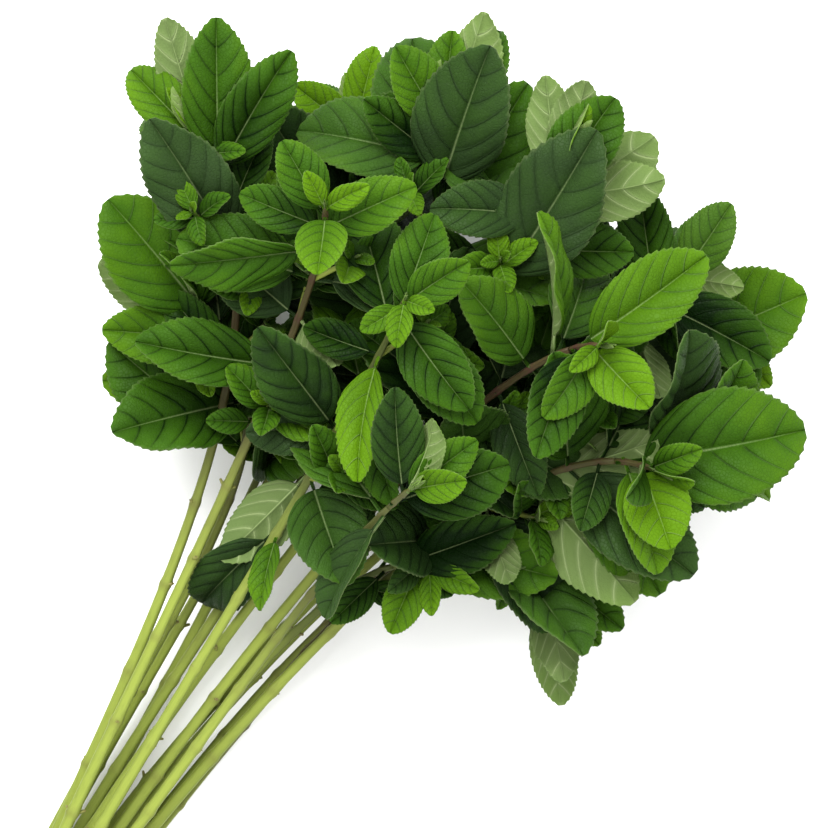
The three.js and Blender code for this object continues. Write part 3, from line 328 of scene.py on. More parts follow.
def plan_place(place):
    """A place on the plan, in the frame's directions."""
    c, s = math.cos(math.radians(PLAN_TURN)), math.sin(math.radians(PLAN_TURN))
    right, up, height = place
    return np.array([right * c - up * s, right * s + up * c, height])


def direction(azimuth, elevation):
    turn, tilt = math.radians(azimuth), math.radians(elevation)
    level = math.cos(tilt)
    return np.array([math.cos(turn) * level, math.sin(turn) * level, math.sin(tilt)])


def bezier(a, b, c, d, steps):
    t = np.linspace(0, 1, steps + 1)[:, None]
    return (1 - t) ** 3 * a + 3 * (1 - t) ** 2 * t * b + 3 * (1 - t) * t * t * c + t ** 3 * d


class Line:
    """The middle line of a stem or shoot, measured along from its lower end."""

    def __init__(self, points, foot_radius, tip_radius):
        self.points = points
        self.foot_radius = foot_radius
        self.tip_radius = tip_radius
        steps = np.linalg.norm(np.diff(points, axis=0), axis=1)
        self.reach = np.concatenate([[0], np.cumsum(steps)])
        self.length = self.reach[-1]
        self.sides = self.carried_sides()

    def carried_sides(self):
        """A sideways direction at each point, carried along without spinning."""
        last = len(self.points) - 1
        side = np.array([1.0, 0.0, 0.0])
        sides = []
        for i in range(last + 1):
            along = unit(self.points[min(i + 1, last)] - self.points[max(i - 1, 0)])
            side = unit(side - along * along.dot(side))
            sides.append(side)
        return np.array(sides)

    def blend(self, values, distance):
        return np.stack([np.interp(distance, self.reach, values[:, axis]) for axis in range(3)], -1)

    def at(self, distance):
        return self.blend(self.points, distance)

    def axes(self, distance):
        """Along the line, sideways, and square to both."""
        along = self.at(distance + AXIS_STEP) - self.at(distance - AXIS_STEP)
        along /= np.linalg.norm(along, axis=-1, keepdims=True)
        side = self.blend(self.sides, distance)
        side = side - along * np.sum(along * side, axis=-1, keepdims=True)
        side /= np.linalg.norm(side, axis=-1, keepdims=True)
        return along, side, np.cross(along, side)

    def radius(self, distance):
        share = np.clip(distance / self.length, 0, 1)
        return self.tip_radius + (self.foot_radius - self.tip_radius) * (1 - share ** STEM_TAPER)


def stem_line(row):
    height = STEM_RADIUS + LIFT + row.layer * LAYER_PITCH
    side = row.column * COLUMN_PITCH
    waist = np.array([BAND_X + side, BAND_Y, height])
    lean = STRAIGHT_LEAN + FAN * row.column / LAYER_WIDTHS[row.layer]
    rise = unit(np.array([lean, 1, STRAIGHT_RISE + LAYER_RISE * row.layer]))
    foot_height = STEM_RADIUS + CLEARANCE + row.layer * LAYER_PITCH * FOOT_SPLAY
    foot = np.array([BAND_X + side * FOOT_SPLAY, BAND_Y - FOOT_LENGTH, foot_height])
    tip = plan_place(row.tip)
    aim = direction(row.azimuth, row.elevation)
    below = bezier(foot, foot + (0, FOOT_RISE, 0), waist - rise * BAND_HANDLE, waist, FOOT_STEPS)
    above = bezier(waist, waist + rise * CROWN_HANDLE, tip - aim * row.handle, tip, CROWN_STEPS)
    line = Line(np.vstack([below[:-1], above]), STEM_RADIUS, TIP_RADIUS)
    line.waist = line.reach[FOOT_STEPS]
    return line


def pair_distance(size, pair):
    """Distance of a leaf pair from the tip: pairs stand further apart as they age."""
    return (FIRST_GAP + GAP_GROWTH * pair + GAP_STRETCH * pair * pair) * size


def press(height):
    """Height after a soft meeting with the floor, and how much of a slope is left there."""
    depth = (height - SURFACE) / SOFTNESS
    rise = np.exp(np.minimum(depth, FAR_ABOVE))
    lifted = np.where(depth > FAR_ABOVE, height, SURFACE + SOFTNESS * np.log1p(rise))
    return lifted, np.where(depth > FAR_ABOVE, 1, rise / (1 + rise))


class Leaf:
    """One leaf's frame and size. Its shape is worked out by point and, finely, by surface."""

    def __init__(self, base, along, facing, length, width, droop, fold):
        self.base = base
        self.along = along
        self.facing = facing
        self.side = np.cross(facing, along)
        self.length = length
        self.width = width
        self.droop = droop
        self.fold = fold

    def half_width(self, share):
        blade = (share - STALK_SHARE) / (1 - STALK_SHARE)
        held = np.clip(blade, 0, 1)
        outline = np.sin(math.pi * held ** ROOM_SKEW) ** ROOM_FULLNESS
        stalk = STALK_RADIUS * np.maximum(1 - STALK_TAPER * held, 0)
        return np.where(blade < 0, STALK_RADIUS, np.maximum(stalk, self.width / 2 * outline))

    def spine(self, share):
        """Points along the bent middle line and the upright direction at each."""
        bend = (self.droop * share)[..., None]
        reach = self.length * np.sin(bend) / self.droop
        drop = -self.length * (1 - np.cos(bend)) / self.droop
        place = self.base + self.along * reach + self.facing * drop
        return place, self.facing * np.cos(bend) + self.along * np.sin(bend)

    def samples(self, grid):
        share, across = grid
        place, upright = self.spine(share)
        out = (self.half_width(share) * across)[..., None]
        place = place + self.side * out * math.cos(self.fold)
        place = place + upright * np.abs(out) * math.sin(self.fold)
        place[..., 2] = press(place[..., 2])[0]
        return place


def turn_up(facing, along, share):
    """Turns a leaf's upper face part of the way to the sky, about the leaf's own length."""
    sky = np.array([0, 0, 1.0]) - along * along[2]
    if np.linalg.norm(sky) < UPRIGHT:
        return facing
    sky = unit(sky)
    turn = math.atan2(np.cross(facing, sky).dot(along), facing.dot(sky)) * share
    return unit(facing * math.cos(turn) + np.cross(along, facing) * math.sin(turn))


def clear_surface(along, facing, base, length):
    """Keeps a leaf from being aimed into the floor, and its upper face square to it."""
    lowest = -max(base[2] - SURFACE_ROOM, 0) / length
    if along[2] >= lowest:
        return along, facing
    level = math.hypot(along[0], along[1])
    wanted = math.sqrt(1 - lowest * lowest)
    along = np.array([along[0] * wanted / level, along[1] * wanted / level, lowest])
    return along, unit(facing - along * along.dot(facing))


Stalk = namedtuple("Stalk", "number line size ripe spread roll framed")


def seat(stalk, distance, pair):
    """How far from the stem's middle a stalk begins."""
    radius = stalk.line.radius(distance)
    if pair < TIP_PAIRS:
        return radius * TIP_SEAT
    if pair < stalk.framed:
        return radius * CORNER_REACH + RING_EASE + RING_WALL * RING_SEAT
    return radius * OLD_SEAT


def make_leaf(stalk, pair, half, nudge):
    """One leaf of a pair, moved from its natural place by a nudge."""
    number, line = stalk.number, stalk.line
    distance = line.length - pair_distance(stalk.size, pair)
    stem, side, across = line.axes(distance)
    stray = SPIN_SPREAD * (chance(number, pair) - 0.5)
    spin = math.radians(stalk.roll + 90 * pair + stray + 180 * half + nudge.spin)
    out = side * math.cos(spin) + across * math.sin(spin)
    age = (pair + stalk.ripe + GROWTH_START) / GROWTH_PAIRS
    grown = LEAF_LENGTH * stalk.size * (1 - math.exp(-(age ** GROWTH_CURVE)))
    length = grown * (LEAST_LENGTH + LENGTH_SPREAD * chance(number, pair, half))
    width = length * (LEAST_BREADTH + BREADTH_SPREAD * chance(number, pair, half, 1))
    usual = stalk.spread * (1 - math.exp(-(pair + OPENING_START) / OPENING_PAIRS))
    lean = math.radians(min(usual + nudge.lean, STEEPEST_LEAN))
    along = stem * math.cos(lean) + out * math.sin(lean)
    facing = stem * math.sin(lean) - out * math.cos(lean)
    base = line.at(distance) + out * seat(stalk, distance, pair)
    along, facing = clear_surface(along, facing, base, length)
    turn = YOUNG_TURN if pair < YOUNG_PAIRS else GROWN_TURN
    facing = turn_up(facing, along, turn + nudge.turn)
    return seeded_leaf(stalk, pair, half, base, along, facing, length, width)


def leaf_droop(number, pair, half):
    return math.radians(LEAST_DROOP + DROOP_SPREAD * chance(number, pair, half, DROOP_DRAW))


def seeded_leaf(stalk, pair, half, base, along, facing, length, width):
    number = stalk.number
    fold = math.radians(LEAST_FOLD + FOLD_SPREAD * chance(number, pair, half, FOLD_DRAW))
    leaf = Leaf(base, along, facing, length, width, leaf_droop(number, pair, half), fold)
    leaf.seed = (number, pair, half)
    age = pair + stalk.ripe
    youth = math.exp(-max(age, 0) / FRESH_PAIRS)
    tone = chance(number, pair, half, TONE_DRAW) ** TONE_CURVE
    leaf.fresh = min(YOUTH_SHARE * youth + TONE_SHARE * tone, 1)
    # How much blue-green painted sheen an old leaf gets, by chance
    leaf.cool = chance(number, pair, half, SHEEN_DRAW) ** 2 * (age > OLD_AGE)
    return leaf


def set_leaf(stalk, row):
    """A leaf that reaches from its stem's node to a set place."""
    distance = stalk.line.length - pair_distance(stalk.size, row.pair)
    node = stalk.line.at(distance)
    stem = stalk.line.axes(distance)[0]
    goal = plan_place(row.place)
    out = goal - node
    out = unit(out - stem * stem.dot(out))
    base = node + out * seat(stalk, distance, row.pair)
    span = np.linalg.norm(goal - base)
    chord = unit(goal - base)
    sky = unit(np.array([0, 0, 1.0]) - chord * chord[2])
    tilt = math.radians(row.tilt)
    facing = sky * math.cos(tilt) + np.cross(chord, sky) * math.sin(tilt)
    bend = leaf_droop(stalk.number, row.pair, row.half) / 2
    along = chord * math.cos(bend) + facing * math.sin(bend)
    facing = facing * math.cos(bend) - chord * math.sin(bend)
    length = span * bend / math.sin(bend)
    leaf = seeded_leaf(stalk, row.pair, row.half, base, along, facing, length, length * row.breadth)
    leaf.fresh, leaf.cool = row.fresh, row.cool
    return leaf


def sample_grid(rows, columns):
    """Shares along and across a leaf of the points that stand for it."""
    share = SAMPLE_START + (1 - SAMPLE_START) * np.arange(rows) / (rows - 1)
    across = -1 + 2 * np.arange(columns) / (columns - 1)
    return [grid.ravel() for grid in np.meshgrid(share, across, indexing="ij")]


class Crown:
    """What has been placed so far, as sets of points with the ball round each set."""

    def __init__(self):
        nudges = [Nudge(lean, spin, turn) for lean in LEANS for spin in SPINS for turn in TURNS]
        cost = [
            abs(n.lean) / ANGLE_COST + abs(n.spin) / ANGLE_COST + abs(n.turn) / TURN_COST
            for n in nudges
        ]
        self.nudges = [nudges[i] for i in sorted(range(len(nudges)), key=cost.__getitem__)]
        self.points = []
        self.middles = np.zeros((0, 3))
        self.radii = np.zeros(0)
        self.owners = np.zeros(0, int)

    def add(self, points, owner):
        middle = points.mean(0)
        radius = np.linalg.norm(points - middle, axis=1).max()
        self.points.append(points)
        self.middles = np.vstack([self.middles, middle])
        self.radii = np.append(self.radii, radius)
        self.owners = np.append(self.owners, owner)

    def add_stem(self, line, owner):
        for start in np.arange(line.waist, line.length - STEM_STRETCH, STEM_STRETCH):
            self.add(line.at(start + np.arange(0, STEM_STRETCH, STEM_STEP)), owner)

    def near(self, place, reach, owner):
        """The points that may come near a place, apart from the owner's own."""
        gap = np.linalg.norm(self.middles - place, axis=1) - self.radii - reach
        chosen = np.flatnonzero((gap < NEAR_GAP) & (self.owners != owner))
        return np.vstack([self.points[i] for i in chosen]) if len(chosen) else None

    def place(self, stalk, pair, half, grid, least):
        """The first nudge that clears what is there, or else the one that comes nearest to it."""
        best, best_clear, near = None, -1.0, None
        for count, nudge in enumerate(self.nudges):
            leaf = make_leaf(stalk, pair, half, nudge)
            if count == 0:
                near = self.near(leaf.base, leaf.length * LEAF_REACH, stalk.number)
            points = leaf.samples(grid)
            clear = least_distance(points, near)
            if clear > best_clear:
                best, best_clear, best_points = leaf, clear, points
            if clear > least:
                break
        best.clear = best_clear
        self.add(best_points, -1)
        return best


def least_distance(points, others):
    if others is None:
        return NOTHING_NEAR
    square = (points ** 2).sum(1)[:, None] + (others ** 2).sum(1) - 2 * points @ others.T
    return math.sqrt(max(square.min(), 0))


SHOOT_PAIRS = (4, 5, 6, 7)  # side shoots stand in the axils of these pairs
SHOOT_CHANCE = 0.5  # of a shoot in one axil
SHOOT_LEAF_PAIRS = 3
SHOOT_LENGTH, SHOOT_LENGTH_SPREAD = 12, 16
SHOOT_ALONG, SHOOT_OUT = 0.8, 0.75  # its aim along the stem and out from it
SHOOT_LIFT = 0.5  # how far its end turns up
SHOOT_STEPS = 10
SHOOT_RADIUS, SHOOT_TIP_RADIUS = 1.0, 0.6
SHOOT_SIZE, SHOOT_SIZE_SPREAD = 0.34, 0.2  # of its leaves
SHOOT_RIPE, SHOOT_SPREAD, SHOOT_ROLL = 0.5, 70, 40
SHOOT_ROWS, SHOOT_COLUMNS = 5, 3  # of points that stand for one of its leaves
SHOOT_CLEARANCE = 1.5  # wanted round its leaves
SHOOT_LEAST = 0.5  # without this a leaf is left out


def shoot_stalk(stalk, pair, half):
    """A short side shoot in the axil of a leaf, aimed between the leaf and the stem."""
    number, line = stalk.number, stalk.line
    distance = line.length - pair_distance(stalk.size, pair)
    stem, side, across = line.axes(distance)
    spin = math.radians(stalk.roll + 90 * pair + 180 * half)
    out = side * math.cos(spin) + across * math.sin(spin)
    start = line.at(distance) + out * line.radius(distance) * 0.5
    length = SHOOT_LENGTH + SHOOT_LENGTH_SPREAD * chance(number, pair, half, SHOOT_LENGTH_DRAW)
    aim = unit(stem * SHOOT_ALONG + out * SHOOT_OUT)
    bent = unit(aim + np.array([0, 0, SHOOT_LIFT]))
    end = start + (aim + bent) * length / 2
    points = bezier(start, start + aim * length / 3, start + aim * length * 0.7, end, SHOOT_STEPS)
    size = SHOOT_SIZE + SHOOT_SIZE_SPREAD * chance(number, pair, half, SHOOT_SIZE_DRAW)
    shoot = Line(points, SHOOT_RADIUS, SHOOT_TIP_RADIUS)
    return Stalk(number * 10 + pair, shoot, size, SHOOT_RIPE, SHOOT_SPREAD, SHOOT_ROLL * half, 0)


@functools.cache
def planted():
    """All sprigs with their leaves, placed in the order in which the frame places them."""
    sprigs = []
    crown = Crown()
    for number, row in enumerate(SPRIGS):
        framed = TIP_PAIRS + row.pairs
        stalk = Stalk(number, stem_line(row), row.size, row.ripe, row.spread, row.roll, framed)
        sprigs.append((stalk, row, {}, []))
        crown.add_stem(stalk.line, number)
    grid = sample_grid(SAMPLE_ROWS, SAMPLE_COLUMNS)
    for row in SET_LEAVES:
        stalk, _, leaves, _ = sprigs[row.sprig - 1]
        leaf = set_leaf(stalk, row)
        crown.add(leaf.samples(grid), -1)
        leaves[row.pair, row.half] = leaf
    framed = max(TIP_PAIRS + row.pairs for row in SPRIGS)
    oldest = max(row.total for row in SPRIGS)
    rounds = [(pair, True) for pair in range(framed)]
    rounds += [(pair, False) for pair in range(TIP_PAIRS, oldest)]
    for pair, in_frame in rounds:
        for stalk, row, leaves, _ in sprigs:
            if (pair < stalk.framed) != in_frame or pair >= row.total:
                continue
            for half in (0, 1):
                if (pair, half) not in leaves:
                    leaves[pair, half] = crown.place(stalk, pair, half, grid, LEAST_CLEARANCE)
    coarse = sample_grid(SHOOT_ROWS, SHOOT_COLUMNS)
    for stalk, row, _, shoots in sprigs:
        for pair in SHOOT_PAIRS:
            for half in (0, 1):
                if pair >= row.total or chance(stalk.number, pair, half, SHOOT_DRAW) < SHOOT_CHANCE:
                    continue
                shoot = shoot_stalk(stalk, pair, half)
                pairs = [
                    crown.place(shoot, young, side, coarse, SHOOT_CLEARANCE)
                    for young in range(SHOOT_LEAF_PAIRS) for side in (0, 1)
                ]
                shoots.append((shoot, [leaf for leaf in pairs if leaf.clear > SHOOT_LEAST]))
    return [
        (stalk, row, {pair: [leaves[pair, half] for half in (0, 1)] for pair in range(row.total)}, shoots)
        for stalk, row, leaves, shoots in sprigs
    ]


# ---- Shader maths ----

class Value:
    """A shader value: arithmetic on it adds the Math nodes that work it out."""

    def __init__(self, look, socket):
        self.look = look
        self.socket = socket

    def math(self, operation, *others):
        values = dict(enumerate((self, *others)))
        return self.look.value("ShaderNodeMath", {"operation": operation}, values)

    def reflected(self, operation, other):
        return self.look.value("ShaderNodeMath", {"operation": operation}, {0: other, 1: self})

    def __add__(self, other):
        return self.math("ADD", other)

    def __sub__(self, other):
        return self.math("SUBTRACT", other)

    def __mul__(self, other):
        return self.math("MULTIPLY", other)

    def __truediv__(self, other):
        return self.math("DIVIDE", other)

    def __rsub__(self, other):
        return self.reflected("SUBTRACT", other)

    def __rtruediv__(self, other):
        return self.reflected("DIVIDE", other)

    __radd__ = __add__
    __rmul__ = __mul__

    def clamped(self):
        return self.math("MAXIMUM", 0).math("MINIMUM", 1)

    def smooth(self):
        held = self.clamped()
        return held * held * (3 - 2 * held)


class Look:
    """One material: its nodes are added by name, with their settings first, then their values."""

    def __init__(self, name):
        self.material = bpy.data.materials.new(name)
        self.material.use_nodes = True
        self.tree = self.material.node_tree
        self.surface = self.tree.nodes["Principled BSDF"]

    def node(self, kind, settings=None, values=None):
        node = self.tree.nodes.new(kind)
        for name, setting in (settings or {}).items():
            if name == "stops":
                for stop, (place, color) in enumerate(setting):
                    stops = node.color_ramp.elements
                    element = stops[stop] if stop < len(stops) else stops.new(place)
                    element.position = place
                    element.color = (*color, 1)
            else:
                setattr(node, name, setting)
        for place, value in (values or {}).items():
            self.feed(node.inputs[place], value)
        return node

    def feed(self, socket, value):
        if isinstance(value, Value):
            self.tree.links.new(value.socket, socket)
        elif isinstance(value, (tuple, list)) and len(value) < len(socket.default_value):
            socket.default_value = (*value, 1)
        else:
            socket.default_value = value

    def value(self, kind, settings=None, values=None, output=0):
        return Value(self, self.node(kind, settings, values).outputs[output])

    def attribute(self, name, output="Fac"):
        return self.value("ShaderNodeAttribute", {"attribute_name": name}, None, output)

    def mix(self, from_color, to_color, factor):
        values = {"Factor": factor, "A": from_color, "B": to_color}
        return self.value("ShaderNodeMix", {"data_type": "RGBA"}, values, "Result")

    def ramp(self, factor, stops):
        return self.value("ShaderNodeValToRGB", {"stops": stops}, {"Fac": factor}, "Color")

    def noise(self, place, scale, detail):
        values = {"Vector": place, "Scale": scale, "Detail": detail}
        return self.value("ShaderNodeTexNoise", {}, values, "Fac")

    def bump(self, height, distance, strength):
        values = {"Height": height, "Distance": distance, "Strength": strength}
        return self.value("ShaderNodeBump", {}, values, "Normal")

    def set(self, **values):
        for name, value in values.items():
            self.feed(self.surface.inputs[name.replace("_", " ")], value)


# ---- Sizes and colours that a user may change ----

def length_prop(name, description, default):
    return bpy.props.FloatProperty(
        name=name, description=description, default=default, unit="LENGTH", precision=5, min=0
    )


def color_prop(name, description, default):
    return bpy.props.FloatVectorProperty(
        name=name, description=description, default=default, subtype="COLOR", size=3, min=0, max=1
    )


class MINT_leaf_settings(bpy.types.PropertyGroup):
    """Relief and colours of the leaves."""
    thickness: length_prop("Thickness", "Thickness of a blade between its veins", 0.00032)
    quilting: length_prop("Quilting", "How far a blade bulges between its side veins", 0.0009)
    groove: length_prop("Groove", "Depth of the middle vein in the upper face", 0.0005)
    teeth: length_prop("Teeth", "How far the teeth stand out of the margin", 0.0006)
    ripple: length_prop("Ripple", "Height of the waves along the margin", 0.0014)
    mature: color_prop("Mature", "Upper face of an old leaf", (0.0022, 0.0095, 0.0008))
    grown: color_prop("Grown", "Upper face of a grown leaf", (0.0235, 0.068, 0.003))
    young: color_prop("Young", "Upper face of the youngest leaves", (0.066, 0.148, 0.003))
    # Painted sheen: a blue-green tint that stands in for the soft reflection on some old leaves
    cool: color_prop("Cool", "Blue-green tinge of some old leaves", (0.027, 0.052, 0.016))
    underside: color_prop("Underside", "Lower face", (0.125, 0.175, 0.06))
    vein: color_prop("Vein", "Middle vein and margin", (0.22, 0.28, 0.12))


class MINT_stem_settings(bpy.types.PropertyGroup):
    """Swellings and colours of the stems."""
    swelling: bpy.props.FloatProperty(
        name="Swelling", description="How much thicker a stem is at a node", default=0.22, min=0
    )
    stub: length_prop("Stub", "Longest stub of a stripped leaf", 0.0028)
    pale: color_prop("Pale", "Lower stem", (0.19, 0.235, 0.034))
    olive: color_prop("Olive", "Stem within the crown", (0.055, 0.078, 0.012))
    maroon: color_prop("Maroon", "Sunlit side of the upper stem", (0.048, 0.018, 0.014))
    scar: color_prop("Scar", "Healed leaf scars", (0.13, 0.1, 0.04))
    pith: color_prop("Pith", "Middle of the cut end", (0.4, 0.45, 0.27))


class MINT_band_settings(bpy.types.PropertyGroup):
    """Section and colour of the rubber band."""
    width: length_prop("Width", "Width of one strand", 0.0015)
    thickness: length_prop("Thickness", "Thickness of one strand", 0.0008)
    rubber: color_prop("Rubber", "Natural rubber", (0.36, 0.2, 0.065))


class MINT_stage_settings(bpy.types.PropertyGroup):
    """Floor, light and camera."""
    floor_size: length_prop("Floor", "Side of the floor", 8.0)
    floor: color_prop("Floor colour", "Plain pale floor", (0.9, 0.9, 0.9))
    sky: bpy.props.FloatProperty(name="Sky", description="Light from all round", default=1.75, min=0)
    lamp: bpy.props.FloatProperty(
        name="Lamp", description="Power of the large lamp", default=32, min=0, unit="POWER"
    )
    lamp_size: length_prop("Lamp size", "Side of the large lamp", 0.9)
    camera_height: length_prop("Camera height", "Height of the camera over the floor", 1.1)


# ---- Modelling helpers ----

def shift():
    """From the plan's place to the frame's, found from the band."""
    low, high = (np.array(corner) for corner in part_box("band"))
    outside = STEM_RADIUS * CORNER_REACH + BAND_EASE + BAND_THICKNESS
    planned = np.array([BAND_X, BAND_Y, STEM_RADIUS + LIFT - outside]) * MM
    return np.array([(low[0] + high[0]) / 2, (low[1] + high[1]) / 2, low[2]]) - planned


def placed(points):
    return points * MM + shift()


def add_primitive(kind, name, **sizes):
    bpy.ops.object.select_all(action="DESELECT")
    getattr(bpy.ops.mesh, f"primitive_{kind}_add")(**sizes)
    piece = bpy.context.object
    piece.name = name
    return piece


def apply_modifier(piece, kind, **settings):
    modifier = piece.modifiers.new(kind.title(), kind)
    for name, value in settings.items():
        setattr(modifier, name, value)
    bpy.context.view_layer.objects.active = piece
    bpy.ops.object.modifier_apply(modifier=modifier.name)


def select(piece, kind, chosen):
    """Selects the faces or edges for which chosen is true, and stays in edit mode."""
    bpy.ops.object.mode_set(mode="EDIT")
    bpy.ops.mesh.select_mode(type=kind)
    bpy.ops.mesh.select_all(action="DESELECT")
    bpy.ops.object.mode_set(mode="OBJECT")
    for part in piece.data.polygons if kind == "FACE" else piece.data.edges:
        part.select = chosen(part)
    bpy.ops.object.mode_set(mode="EDIT")


def coordinates(piece):
    values = np.empty(len(piece.data.vertices) * 3)
    piece.data.vertices.foreach_get("co", values)
    return values.reshape(-1, 3)


def reshape(piece, points):
    piece.data.vertices.foreach_set("co", np.asarray(points, float).ravel())
    piece.data.update()


def note(piece, name, values):
    """Writes a number for each vertex, which the materials read."""
    data = piece.data
    attribute = data.attributes.get(name) or data.attributes.new(name, "FLOAT", "POINT")
    attribute.data.foreach_set("value", np.broadcast_to(values, len(data.vertices)).astype(np.float32))


def write_uv(piece, across, along):
    data = piece.data
    corners = np.empty(len(data.loops), int)
    data.loops.foreach_get("vertex_index", corners)
    layer = data.uv_layers[0] if data.uv_layers else data.uv_layers.new(name="UVMap")
    layer.data.foreach_set("uv", np.stack([across, along], 1)[corners].ravel())


def copy_of(piece):
    copy = piece.copy()
    copy.data = piece.data.copy()
    bpy.context.collection.objects.link(copy)
    return copy


def join(pieces, name):
    bpy.ops.object.select_all(action="DESELECT")
    for piece in pieces:
        piece.select_set(True)
    bpy.context.view_layer.objects.active = pieces[0]
    if len(pieces) > 1:
        bpy.ops.object.join()
    pieces[0].name = name
    return pieces[0]


def remove(piece):
    bpy.data.objects.remove(piece)


def finish_piece(piece, slot, *nodes):
    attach(piece, "root")
    if nodes:
        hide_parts(*nodes)


# ---- Leaves ----

VEINS = 7  # intervals between side veins, from stalk to tip
VEIN_START = 0.06  # how close together the lowest side veins leave the middle one
VEIN_REACH = 0.6  # how far forward side veins meet the margin
OUTLINE_SKEW = 0.93  # moves the widest place towards the stalk
OUTLINE_FULLNESS = 0.6  # how round both ends are
STALK_ROWS = 2
STALK_STEP = 0.075  # share of the leaf between the stalk's rows
# How far out each column of a half blade stands, as a share of its width
COLUMNS_GROWN = (0.05, 0.17, 0.36, 0.57, 0.78, 0.93, 1)
COLUMNS_YOUNG = (0.08, 0.4, 0.75, 1)
COLUMNS_BUD = (0.45, 1)
LONG_LEAF = 22  # a tip's leaves that are longer have the grown leaves' columns
BUD_LEAF = 15  # a shoot's leaves that are shorter have the bud's
TIP_HALF_WIDTH = 0.25
LOW_VEINS = 0.2  # share of the blade whose side veins leave the middle one close together
VEIN_CURVE = 1.23
TOOTH_LEAN = 0.008  # how far forward the teeth point, as a share of the leaf
TOOTH_MIDDLE = 0.4
QUILT_SQUARENESS = 2.5
MIDRIB_REACH = 0.14  # how far from the middle vein the quilting is lost
GROOVE_REACH = 0.04
GROOVE_FADE = 0.6  # how much shallower the middle groove is at the tip
ARCH, ARCH_SPREAD = 1.1, 0.6  # height of each half's arch
WAVES, WAVES_SPREAD, WAVE_OFFSET = 1.6, 0.5, 0.17  # along a margin, and between the two
RIPPLE_SPREAD = 0.5
TWIST = 22  # degrees at most from stalk to tip
SWAY = 0.07  # sideways bend at most, as a share of the leaf
FLESHY_END, FLESHY_FADE = 0.2, 0.12  # where the thick stalk ends, and over what length
RIB_DEPTH, RIB_REACH, RIB_FADE = 0.5, 0.07, 0.8  # middle vein under the blade
SIDE_RIB_DEPTH = 0.12
LEAST_HEIGHT = 0.05  # of the skin over the floor
Blade = namedtuple("Blade", "piece across row stalk tooth toothtip top")


def flat_blade(name, half_columns, rows_per_vein, rows_per_tooth):
    """A flat leaf whose rows follow the side veins: modelled once, then bent for each leaf."""
    columns = np.array([-c for c in reversed(half_columns)] + [0, *half_columns])
    blade_rows = VEINS * rows_per_vein
    rows = blade_rows + STALK_ROWS
    piece = add_primitive("grid", name, x_subdivisions=len(columns) - 1, y_subdivisions=rows, size=2)
    apply_modifier(piece, "SOLIDIFY", thickness=0.1, offset=-1)
    bpy.ops.object.shade_smooth()
    x, y, z = coordinates(piece).T
    across = columns[np.rint((x + 1) / 2 * (len(columns) - 1)).astype(int)]
    step = np.rint((y + 1) / 2 * rows).astype(int) - STALK_ROWS
    row = step / blade_rows
    phase = (step % rows_per_tooth) / rows_per_tooth
    tip = (step % rows_per_tooth == rows_per_tooth - 1) & (step > 0)
    tooth = np.where(step > 0, phase * rows_per_tooth / (rows_per_tooth - 1), 0)
    write_uv(piece, (across + 1) / 2, row)
    note(piece, "underside", z < -0.05)
    return Blade(piece, across, np.clip(row, 0, 1), np.maximum(-step, 0), tooth, tip, z > -0.05)


def bell(value, width):
    """1 at 0, falling away smoothly over the width."""
    return np.exp(-(value / width) ** 2)


